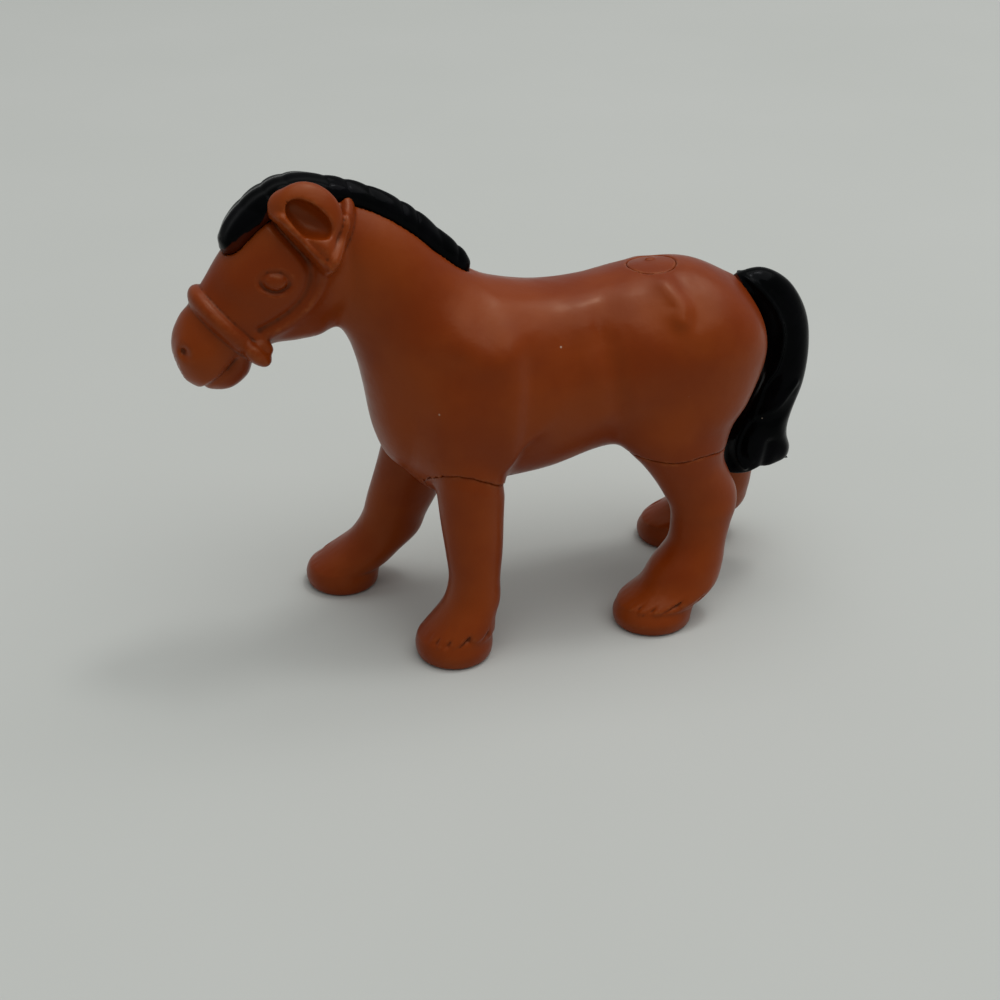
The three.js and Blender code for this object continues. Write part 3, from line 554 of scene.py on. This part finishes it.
# A round rod between two points
def rodDistance(axes, start, end, radius):
    x, y, z = np.meshgrid(*axes, indexing="ij")
    start, end = np.asarray(start, float), np.asarray(end, float)
    length = np.linalg.norm(end - start)
    way = (end - start) / length
    offX, offY, offZ = x - start[0], y - start[1], z - start[2]
    along = offX * way[0] + offY * way[1] + offZ * way[2]
    aside = np.sqrt(np.maximum(offX**2 + offY**2 + offZ**2 - along**2, 0))
    return np.maximum(aside - radius, np.abs(along - length / 2) - length / 2)


# Mane with its locks: along the crest the skin swells as |sin|, slanting with height, less a groove
# exp(-(sin/width)²) between locks, and on top it waves across as cos(2πy/crownWave)
def maneDistance(axes):
    side = readLoft(maneLoft, axes[0], axes[2])
    rise = np.clip(side["rise"] / side["height"], -1, 1)
    way = side["travel"] + mane["lockSlant"] * rise + mane["lockSway"] * np.sin(side["travel"])
    swell = np.abs(np.sin(np.pi * way / mane["lockLength"]))
    locks = swell - 0.6 - mane["grooveDepth"] * np.exp(-(swell / mane["grooveWidth"])**2)
    relief = mane["lockRise"] * locks * easeUp(rise, -0.5, 0.3) * easeUp(side["depth"], 0, 1.5)
    across = mane["crownRise"] * np.cos(2 * np.pi * axes[1] / mane["crownWave"])
    crown = easeUp(rise, 0.3, 0.9) * easeUp(side["depth"], 0.5, 2)
    return loftDistance(maneLoft, axes) - relief[:, None, :] - across[None, :, None] * crown[:, None, :]


def manePegs(grow):
    ends = []
    for row in mane["pegRows"]:
        middle = (maneUpper[row] + maneLower[row]) / 2
        down = (maneLower[row] - maneUpper[row]) / np.linalg.norm(maneLower[row] - maneUpper[row])
        foot = maneLower[row] + down * (mane["pegLength"] + grow)
        ends.append(((middle[0], 0, middle[1]), (foot[0], 0, foot[1])))
    return lambda axes: np.minimum(*(rodDistance(axes, *pair, mane["pegRadius"] + grow) for pair in ends))


def tailDistance(axes):
    relief = reliefOf(axes[0], axes[2], tail["strokes"])
    side = easeUp(np.abs(axes[1]), *tail["strokeFade"])
    return loftDistance(tailLoft, axes) - relief[:, None, :] * side[None, :, None]


def tailPeg(grow):
    root, inside = (np.array([x, 0, z]) for x, z in tailLoft["middle"][[0, tail["pegRing"]]])
    way = np.array([-np.cos(tail["pegDip"]), 0, -np.sin(tail["pegDip"])])
    foot = root + way * (tail["pegLength"] + grow)
    return lambda axes: rodDistance(axes, inside, foot, tail["pegRadius"] + grow)


def plugBlank(grow):
    top = (plug["x"], 0, plug["top"] + plug["blankOver"])
    under = plug["top"] - plug["thick"] - grow
    disc, stem = (plug["x"], 0, under), (plug["x"], 0, under - plug["stemLength"])
    return lambda axes: np.minimum(rodDistance(axes, disc, top, plug["radius"] + grow),
                                   rodDistance(axes, stem, top, plug["stem"] + grow))


# Height over a leg's seam. The near foreleg's seam follows foreSeam, the far one's is level, and the hind
# legs' wave as sin(dx), dx being the way from the leg's middle
def seamTop(leg, axes):
    heights, middleX, *_ = legRings(leg)
    dx = axes[0] - np.interp(leg["kind"]["seam"], heights, middleX)
    if leg["kind"] is foreLeg:
        rise = leg["slant"] * np.interp(dx, foreSeam["dx"], foreSeam["rise"])
    else:
        rise = hindSeamWave * np.sin(dx)
    return axes[2][None, None, :] - (leg["kind"]["seam"] + rise)[:, None, None]


def legPeg(leg, grow):
    heights, middleX, middleY, *_ = legRings(leg)
    seam = leg["kind"]["seam"]
    x, y = (np.interp(seam, heights, column) for column in (middleX, middleY))
    foot, top = (x, y, seam - legPegSize["below"]), (x, y, seam + legPegSize["above"] + grow)
    return lambda axes: rodDistance(axes, foot, top, legPegSize["radius"] + grow)


# Surface of a field: in each cell of the grid that the skin passes through, a point at the mean of the
# places where the cell's edges cross it, and a four-sided face round each edge that crosses it
def surfaceOf(field, axes):
    cells = np.array(field.shape) - 1
    stride = np.array([cells[1] * cells[2], cells[2], 1])
    corners, places = [], []
    for axis in range(3):
        lined = np.moveaxis(field, axis, 0)
        first, second = lined[:-1], lined[1:]
        hit = np.stack(np.nonzero((first < 0) != (second < 0)), 1)
        here = first[tuple(hit.T)]
        share = here / (here - second[tuple(hit.T)])
        node = np.empty_like(hit)
        node[:, axis] = hit[:, 0]
        node[:, [other for other in range(3) if other != axis]] = hit[:, 1:]
        place = np.column_stack([line[node[:, k]] for k, line in enumerate(axes)])
        place[:, axis] += share * (axes[axis][node[:, axis] + 1] - axes[axis][node[:, axis]])
        a, b = (axis + 1) % 3, (axis + 2) % 3
        cell = (node @ stride)[:, None] - np.array([stride[a] + stride[b], stride[b], 0, stride[a]])
        cell[here > 0] = cell[here > 0][:, ::-1]
        corners.append(cell)
        places.append(np.repeat(place, 4, axis=0))
    quads = np.unique(np.concatenate(corners).ravel(), return_inverse=True)[1]
    places = np.concatenate(places)
    count = np.bincount(quads)
    points = np.column_stack([np.bincount(quads, places[:, k]) / count for k in range(3)])
    return points, quads.reshape(-1, 4)


# Value of a field at any points, by straight interpolation between the grid's points
def valueAt(field, axes, points):
    base, share = [], []
    for k, axis in enumerate(axes):
        index = np.clip(np.searchsorted(axis, points[:, k]) - 1, 0, len(axis) - 2)
        base.append(index)
        share.append((points[:, k] - axis[index]) / (axis[index + 1] - axis[index]))
    total = 0
    for corner in np.ndindex(2, 2, 2):
        weight = np.prod([s if c else 1 - s for s, c in zip(share, corner)], axis=0)
        total = total + weight * field[tuple(i + c for i, c in zip(base, corner))]
    return total


def neighbourMean(values, edges):
    count = np.bincount(edges.ravel(), minlength=len(values))[:, None]
    total = np.column_stack([
        np.bincount(edges[:, 0], column[edges[:, 1]], len(values))
        + np.bincount(edges[:, 1], column[edges[:, 0]], len(values)) for column in values.T
    ])
    return total / count


def edgesOf(quads):
    pairs = np.sort(np.concatenate([quads[:, [k, (k + 1) % 4]] for k in range(4)]), axis=1)
    return np.unique(pairs, axis=0)


meshing = {"settleRounds": 3, "slopeStep": 0.06, "hollowRadius": 0.3, "hollowSpread": 3}


# Evens the mesh out: half way to the mean of the neighbours, then back to the skin along its slope
def settle(points, quads, field, axes):
    edges = edgesOf(quads)
    step = meshing["slopeStep"]
    for _ in range(meshing["settleRounds"]):
        points = (points + neighbourMean(points, edges)) / 2
        for _ in range(2):
            slope = np.column_stack([
                valueAt(field, axes, points + shift) - valueAt(field, axes, points - shift)
                for shift in np.eye(3) * step
            ]) / (2 * step)
            size = np.maximum((slope**2).sum(1), 0.25)
            points = points - slope * (valueAt(field, axes, points) / size)[:, None]
    return points


# How hollow the skin is at each point, from -1 on a ridge to 1 in a groove: radius·4·lift/step², where
# lift is how far the neighbours' mean stands out along the normal and step² is their mean squared way
def hollowness(points, normals, edges):
    lift = ((neighbourMean(points, edges) - points) * normals).sum(1)[:, None]
    squared = ((points[edges[:, 0]] - points[edges[:, 1]])**2).sum(1)
    count = np.bincount(edges.ravel(), minlength=len(points))
    step = np.bincount(edges.ravel(), np.repeat(squared, 2), len(points)) / count
    bend = 4 * lift / step[:, None]
    for _ in range(meshing["hollowSpread"]):
        bend = (bend + neighbourMean(bend, edges)) / 2
    return np.clip(meshing["hollowRadius"] * bend[:, 0], -1, 1)


# A piece's skin from its field. paintAt gives, in mm, how far inside the painted part each point lies
def makePiece(name, axes, field, slotName, paintAt):
    for axis in range(3):
        np.moveaxis(field, axis, 0)[[0, -1]] = farOff
    points, quads = surfaceOf(field, axes)
    points = settle(points, quads, field, axes)
    mesh = bpy.data.meshes.new(name + "_skin")
    mesh.from_pydata((points + frameOffset) / 1000, [], quads.tolist())
    mesh.materials.append(finishes[slotName])
    mesh.shade_smooth()
    mesh.update()
    normals = np.empty(len(points) * 3)
    mesh.vertices.foreach_get("normal", normals)
    hollow = hollowness(points, normals.reshape(-1, 3), edgesOf(quads))
    for key, value in (("hollow", hollow), ("paint", paintAt(points))):
        mesh.attributes.new(key, "FLOAT", "POINT").data.foreach_set("value", value.astype(np.float32))
    piece = bpy.data.objects.new(name + "_skin", mesh)
    bpy.context.collection.objects.link(piece)
    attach(piece, "root")
    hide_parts(name)
    print(f"{name}: {len(quads)} faces")


# Colours are written as sRGB hex and turned to linear here
def colour(hexText):
    parts = np.array([int(hexText[k:k + 2], 16) / 255 for k in (1, 3, 5)])
    linear = np.where(parts <= 0.04045, parts / 12.92, ((parts + 0.055) / 1.055)**2.4)
    return (*linear.tolist(), 1.0)


# Adds a shader node: settings are its own properties, and links fill its sockets from other sockets or
# values. The output named by result comes back
def addNode(tree, kind, result, settings, links):
    node = tree.nodes.new("ShaderNode" + kind)
    for key, value in settings.items():
        setattr(node, key, value)
    for socket, source in links.items():
        if isinstance(source, bpy.types.NodeSocket):
            tree.links.new(source, node.inputs[socket])
        else:
            node.inputs[socket].default_value = source
    return node.outputs[result] if node.outputs else None


# deep is a painted shade colour: laid into the grooves, and with thin paint beside the paint's edge
plastic = {
    "brown": "#792c04", "warm": "#833509", "deep": "#360e02", "worn": "#98522a", "dust": "#cdbba6",
    "sheen": "#ffdcb8", "ior": 1.38, "specular": 0.45, "roughest": 0.41, "smoothest": 0.28,
    "grooveShadeShare": 0.6, "wornShare": 0.4, "dustShare": 0.55, "dustMm": 2.6, "rippleStrength": 0.22,
}
paint = {
    "black": "#030404", "thin": "#070709", "sheen": "#f4f6ff", "ior": 1.24, "specular": 0.13,
    "roughest": 0.23, "smoothest": 0.13, "dustShare": 0.7, "raggedMm": 0.35, "rippleStrength": 0.3,
    "thinPaintAndShadeShare": 0.94,     # thin black paint and painted shade darkening the bare plastic just below the paint's edge, as under the forelock
}
# Noises of the finishes: the size of their features in mm, and their detail
noises = {
    "cloud": (7.0, 3), "scuff": (0.7, 4), "few": (4.42, 0), "satin": (2.1, 4), "grain": (0.22, 2),
    "ripple": (1.6, 2), "coat": (3.0, 3), "brush": (1.2, 3), "ragged": (1.1, 2),
}


# The two finishes share one tree: moulded PVC everywhere, and gloss paint over it where the piece's
# paint attribute, roughened by a fine noise, is above 0
def finishTree(name, finish):
    material = bpy.data.materials.new(name)
    material.use_nodes = True
    tree = material.node_tree
    tree.nodes.clear()
    place = addNode(tree, "TexCoord", "Object", {}, {})
    hollow = addNode(tree, "Attribute", "Fac", {"attribute_name": "hollow"}, {})
    edge = addNode(tree, "Attribute", "Fac", {"attribute_name": "paint"}, {})
    links = {"Vector": place, "Scale": 1000 / plastic["dustMm"]}
    mote = addNode(tree, "TexVoronoi", "Distance", {}, links)
    noise = {}
    for key, (size, detail) in noises.items():
        links = {"Vector": place, "Scale": 1000 / size, "Detail": detail}
        noise[key] = addNode(tree, "TexNoise", "Fac", {}, links)
    links = {0: noise["ragged"], 1: 0.5}
    ragged = addNode(tree, "Math", 0, {"operation": "SUBTRACT"}, links)
    links = {0: ragged, 1: paint["raggedMm"], 2: edge}
    raggedEdge = addNode(tree, "Math", 0, {"operation": "MULTIPLY_ADD"}, links)

    # Shares: what each reads, the values it runs between, and the most it gives
    ramps = {
        "cloud": (noise["cloud"], 0.35, 0.65, 1),
        # deep is painted shade in the grooves: the more hollow the skin, the darker
        "deep": (hollow, 0.18, 1.0, plastic["grooveShadeShare"]),
        "worn": (hollow, -0.15, -0.8, plastic["wornShare"]),
        "scuff": (noise["scuff"], 0.4, 0.7, 1),
        "dustOnSkin": (mote, 0.05, 0.025, plastic["dustShare"]),
        "dustOnCoat": (mote, 0.05, 0.025, paint["dustShare"]),
        "few": (noise["few"], 0.6, 0.62, 1),
        # Thin paint and painted shade on the bare plastic just below the paint's edge; only the paint
        # finish has it
        "thinPaintAndShade": (edge, -3.0, -1.0, paint["thinPaintAndShadeShare"] if finish is paint else 0),
        "coat": (noise["coat"], 0.4, 0.7, 1),
        "covered": (raggedEdge, -0.12, 0.08, 1),
    }
    share = {}
    for key, (source, low, high, most) in ramps.items():
        links = {"Value": source, "From Min": low, "From Max": high, "To Max": most}
        share[key] = addNode(tree, "MapRange", 0, {"interpolation_type": "SMOOTHSTEP"}, links)
    for key, only in (("worn", "scuff"), ("dustOnSkin", "few"), ("dustOnCoat", "few")):
        links = {0: share[key], 1: share[only]}
        share[key] = addNode(tree, "Math", 0, {"operation": "MULTIPLY"}, links)

    # Colours laid one over another, each by its share
    tones = {"skin": colour(plastic["brown"]), "coat": colour(paint["black"])}
    # Over the skin, deep and the mark under the forelock lay painted shade
    for key, over, above in (
        ("skin", "cloud", plastic["warm"]), ("skin", "deep", plastic["deep"]),
        ("skin", "worn", plastic["worn"]), ("skin", "dustOnSkin", plastic["dust"]),
        ("skin", "thinPaintAndShade", plastic["deep"]), ("coat", "coat", paint["thin"]),
        ("coat", "dustOnCoat", plastic["dust"]),
    ):
        links = {0: share[over], 6: tones[key], 7: colour(above)}
        tones[key] = addNode(tree, "Mix", 2, {"data_type": "RGBA"}, links)
    links = {0: share["covered"], 6: tones["skin"], 7: tones["coat"]}
    shown = addNode(tree, "Mix", 2, {"data_type": "RGBA"}, links)

    gloss = {0: share["covered"]}
    for socket, part, source in ((2, plastic, noise["satin"]), (3, paint, noise["brush"])):
        gloss[socket] = addNode(tree, "MapRange", 0, {}, {
            "Value": source, "From Min": 0.3, "From Max": 0.7, "To Min": part["smoothest"],
            "To Max": part["roughest"]})
    roughness = addNode(tree, "Mix", 0, {"data_type": "FLOAT"}, gloss)

    # Bumps laid one over another: their height, strength and depth in mm
    below = {}
    for height, strength, depth in (
        (noise["grain"], 0.16, 0.03), (noise["ripple"], finish["rippleStrength"], 0.2),
        (share["covered"], 0.5, 0.04),
    ):
        links = {"Height": height, "Strength": strength, "Distance": depth / 1000, **below}
        below = {"Normal": addNode(tree, "Bump", "Normal", {}, links)}
    shader = addNode(tree, "BsdfPrincipled", "BSDF", {}, {
        "Base Color": shown, "Roughness": roughness, "IOR": finish["ior"],
        "Specular IOR Level": finish["specular"], "Specular Tint": colour(finish["sheen"]), **below})
    addNode(tree, "OutputMaterial", 0, {}, {"Surface": shader})
    return material


finishes = {
    # Soft PVC, injection moulded: an even satin brown with broad soft highlights, with painted shade
    # darkening the grooves, and paler where handling has rubbed the ridges, with stray dust
    "brown_pvc": finishTree("moulded_satin_pvc", plastic),
    # Black enamel brushed over the same moulding: near black, glossy, slightly rippled, ragged at its edge,
    # with thin paint and painted shade darkening the bare plastic just below it
    "black_paint": finishTree("brushed_black_enamel", paint),
}
print("materials made")


brush = {
    # Paint carried past the mane onto the body, and past the tail behind and above tailFrom
    "maneOver": 0.12, "maneWobble": 0.45, "lineWobble": 0.2,
    "tailOver": 0.2, "tailWobble": 0.6, "tailFrom": (10, 28.6),
    # Bare plastic at the tail's foot, and where its root meets the rump
    "tailBare": {"x": 21.2, "z": 10.6, "radius": 0.5}, "tailRoot": {"x": 20.9, "z": 30}, "rootWobble": 0.8,
}


# Wobble of the paint's edge, in mm: three waves of about a tenth of a millimetre along the surface
def wobble(points):
    x, y, z = points.T
    long = 0.14 * np.sin(4.3 * x + 2.1 * z) + 0.1 * np.sin(7.9 * z - 5.2 * x + y)
    return long + 0.07 * np.sin(13 * x + 3 * y)


maneAxes = [gridAxis((-30.5, -3.4, 0.14)), gridAxis((-4, 4, 0.13)), gridAxis((32.5, 47, 0.14))]
maneForm = maneDistance(maneAxes)
tailAxes = [gridAxis((16, 30.2, 0.15)), gridAxis((-4, 4, 0.13)), gridAxis((9.8, 33.4, 0.15))]
notch = ballDistance(tailAxes, tail["notch"]["at"], tail["notch"]["radii"])
tailForm = softMax(tailDistance(tailAxes), -notch, tail["notch"]["soft"])


# Distance of any points to a form kept on a grid
def reachOf(form, axes, points):
    low, high = (np.array([axis[end] for axis in axes]) for end in (0, -1))
    within = ((points > low) & (points < high)).all(1)
    return np.where(within, valueAt(form, axes, np.clip(points, low, high)), farOff)


def manePaint(points):
    x, _, z = points.T
    line = np.array(mane["brownLine"])
    above = z - np.interp(x, line[:, 0], line[:, 1]) + brush["lineWobble"] * wobble(points)
    return np.clip(np.where(x < line[-1, 0], above, 1), -2, 1)


def bodyPaint(points):
    x, _, z = points.T
    wave = wobble(points)
    nearMane = brush["maneOver"] + brush["maneWobble"] * wave - reachOf(maneForm, maneAxes, points)
    nearMane = np.minimum(nearMane, manePaint(points))
    nearTail = brush["tailOver"] + brush["tailWobble"] * wave - reachOf(tailForm, tailAxes, points)
    atRoot = (x > brush["tailFrom"][0]) & (z > brush["tailFrom"][1])
    return np.clip(np.where(atRoot, nearTail, nearMane), -1, 1)


def tailPaint(points):
    x, _, z = points.T
    bare, root = brush["tailBare"], brush["tailRoot"]
    foot = np.hypot(x - bare["x"], z - bare["z"]) - bare["radius"]
    top = np.where(z > root["z"], x - root["x"], 1)
    return np.clip(np.minimum(foot, top) + brush["rootWobble"] * wobble(points), -1, 1)


def noPaint(points):
    return np.full(len(points), -1.0)


print("moulding the body")
bodyAxes = [
    gridAxis((-33.8, -13, 0.16), (-13, 9, 0.36), (9, 15.5, 0.19), (15.5, 24.6, 0.36)),
    gridAxis((-10.6, -0.6, 0.23), (-0.6, 0.6, 0.13), (0.6, 10.6, 0.28)),
    gridAxis((13.4, 16.2, 0.36), (16.2, 19.4, 0.15), (19.4, 27, 0.36), (27, 46.6, 0.17)),
]
body = skinField(bodyAxes)


def cutBody(low, high, tool):
    changeInside(body, bodyAxes, low, high, lambda part, near: softMax(part, -tool(near), seamSoft))


for leg in legs.values():
    inner, outer = (-14, 0) if leg["side"] < 0 else (0, 14)
    spanX = leg["kind"]["spanX"]
    low, high = (spanX[0], inner, 10), (spanX[1], outer, 24)
    cutBody(low, high, lambda near: np.maximum(plainLeg(leg, near)[0] - pocketWall, seamTop(leg, near)))
    cutBody(low, high, legPeg(leg, seamGap))
cutBody((-31, -4, 32), (-3, 4, 48), lambda near: maneDistance(near) - seamGap)
cutBody((-31, -4, 32), (-3, 4, 48), manePegs(seamGap))
cutBody((15, -4, 9), (30, 4, 34), lambda near: tailDistance(near) - seamGap)
cutBody((14, -4, 20), (30, 4, 34), tailPeg(seamGap))
cutBody((9, -3, 28), (15.5, 3, 36), plugBlank(seamGap))
makePiece("body", bodyAxes, body, "brown_pvc", bodyPaint)

legGrid = {"margin": 0.8, "step": 0.16, "hoofTop": 5.6, "hoofStep": 0.13}
for name, leg in legs.items():
    seam = leg["kind"]["seam"]
    heights, middleX, middleY, halfX, halfY = legRings(leg)
    shown = heights < seam + 3
    axes = []
    for middle, half in ((middleX, halfX), (middleY, halfY)):
        start = min((middle - half)[shown]) - legGrid["margin"]
        stop = max((middle + half)[shown]) + legGrid["margin"]
        axes.append(gridAxis((start, stop, legGrid["step"])))
    axes.append(gridAxis((-0.4, legGrid["hoofTop"], legGrid["hoofStep"]),
                         (legGrid["hoofTop"], seam + 5, legGrid["step"])))
    field = skinField(axes)
    top = seamTop(leg, axes)
    field += leg["kind"]["inset"] * easeUp(top, *insetBand)
    field = softMax(field, plainLeg(leg, axes)[0] - pocketWall + seamGap, seamSoft)
    field = softMax(field, top + leg["kind"]["gap"], seamSoft)
    field = np.minimum(field, legPeg(leg, 0)(axes))
    makePiece(name, axes, field, "brown_pvc", noPaint)

plugAxes = [gridAxis((9.2, 14.9, 0.09)), gridAxis((-2.9, 2.9, 0.09)), gridAxis((29.2, 35.2, 0.09))]
plugField = softMax(skinField(plugAxes) + plug["inset"], plugBlank(0)(plugAxes), plug["soft"])
nibPlace = np.array([plug["x"], 0, plug["top"]]) + plug["nib"]["at"]
plugField = softMin(plugField, ballDistance(plugAxes, nibPlace, plug["nib"]["radii"]), plug["soft"])
makePiece("rump_plug", plugAxes, plugField, "brown_pvc", noPaint)

maneField = np.minimum(maneForm, manePegs(0)(maneAxes))
makePiece("mane", maneAxes, maneField, "black_paint", manePaint)
nib = tail["nib"]
tailNib = ballDistance(tailAxes, nib["at"], nib["radii"], nib["lean"])
tailField = np.minimum(softMin(tailForm, tailNib, nib["soft"]), tailPeg(0)(tailAxes))
makePiece("tail", tailAxes, tailField, "black_paint", tailPaint)


print("setting the stage")
stage = {
    "floorWidth": 8.0, "floor": "#bfc2bd", "floorCloud": "#c5c7c3", "cloudScale": 18.0,
    "floorRoughness": 0.85, "sky": "#e2e4e4", "skyStrength": 0.42, "aim": (0, 0, 0.02),
    "lamps": {
        "window_light": {"at": (0.24, -0.08, 1.0), "size": 1.3, "power": 7.8},
        "ceiling_light": {"at": (0.32, 0.07, 1.0), "size": 0.18, "power": 1.3},
    },
}

# Matt paper: pale cool grey, with faint clouds
paper = bpy.data.materials.new("matt_paper")
paper.use_nodes = True
tree = paper.node_tree
tree.nodes.clear()
paperPlace = addNode(tree, "TexCoord", "Object", {}, {})
paperCloud = addNode(tree, "TexNoise", "Fac", {}, {
    "Vector": paperPlace, "Scale": stage["cloudScale"], "Detail": 3.0})
paperColour = addNode(tree, "Mix", 2, {"data_type": "RGBA"}, {
    0: paperCloud, 6: colour(stage["floor"]), 7: colour(stage["floorCloud"])})
paperShader = addNode(tree, "BsdfPrincipled", "BSDF", {}, {
    "Base Color": paperColour, "Roughness": stage["floorRoughness"]})
addNode(tree, "OutputMaterial", 0, {}, {"Surface": paperShader})

half = stage["floorWidth"] / 2
floorMesh = bpy.data.meshes.new("paper_floor")
corners = [(-half, -half, 0), (half, -half, 0), (half, half, 0), (-half, half, 0)]
floorMesh.from_pydata(corners, [], [(0, 1, 2, 3)])
floorMesh.materials.append(paper)
sheet = bpy.data.objects.new("paper_floor", floorMesh)
bpy.context.collection.objects.link(sheet)

world = bpy.data.worlds.new("plain_room")
bpy.context.scene.world = world
world.use_nodes = True
sky = world.node_tree.nodes["Background"]
sky.inputs["Color"].default_value = colour(stage["sky"])
sky.inputs["Strength"].default_value = stage["skyStrength"]

for name, lamp in stage["lamps"].items():
    light = bpy.data.lights.new(name, "AREA")
    light.shape = "SQUARE"
    light.size = lamp["size"]
    light.energy = lamp["power"]
    holder = bpy.data.objects.new(name, light)
    holder.location = lamp["at"]
    holder.rotation_euler = (Vector(stage["aim"]) - Vector(lamp["at"])).to_track_quat("-Z", "Y").to_euler()
    bpy.context.collection.objects.link(holder)

# The photograph's camera: 90 mm above the floor, looking 27.6 degrees down, turned 17 degrees to the tail
view = {"place": (-0.04477, -0.1444, 0.09), "down": 62.4, "turn": -17.0, "lens": 62.8}
cameraData = bpy.data.cameras.new("photo_camera")
cameraData.lens = view["lens"]
cameraData.sensor_width = 36
cameraData.clip_start = 0.01
camera = bpy.data.objects.new("photo_camera", cameraData)
camera.location = view["place"]
camera.rotation_euler = (radians(view["down"]), 0, radians(view["turn"]))
bpy.context.collection.objects.link(camera)
bpy.context.scene.camera = camera
bpy.context.scene.view_settings.view_transform = "Standard"
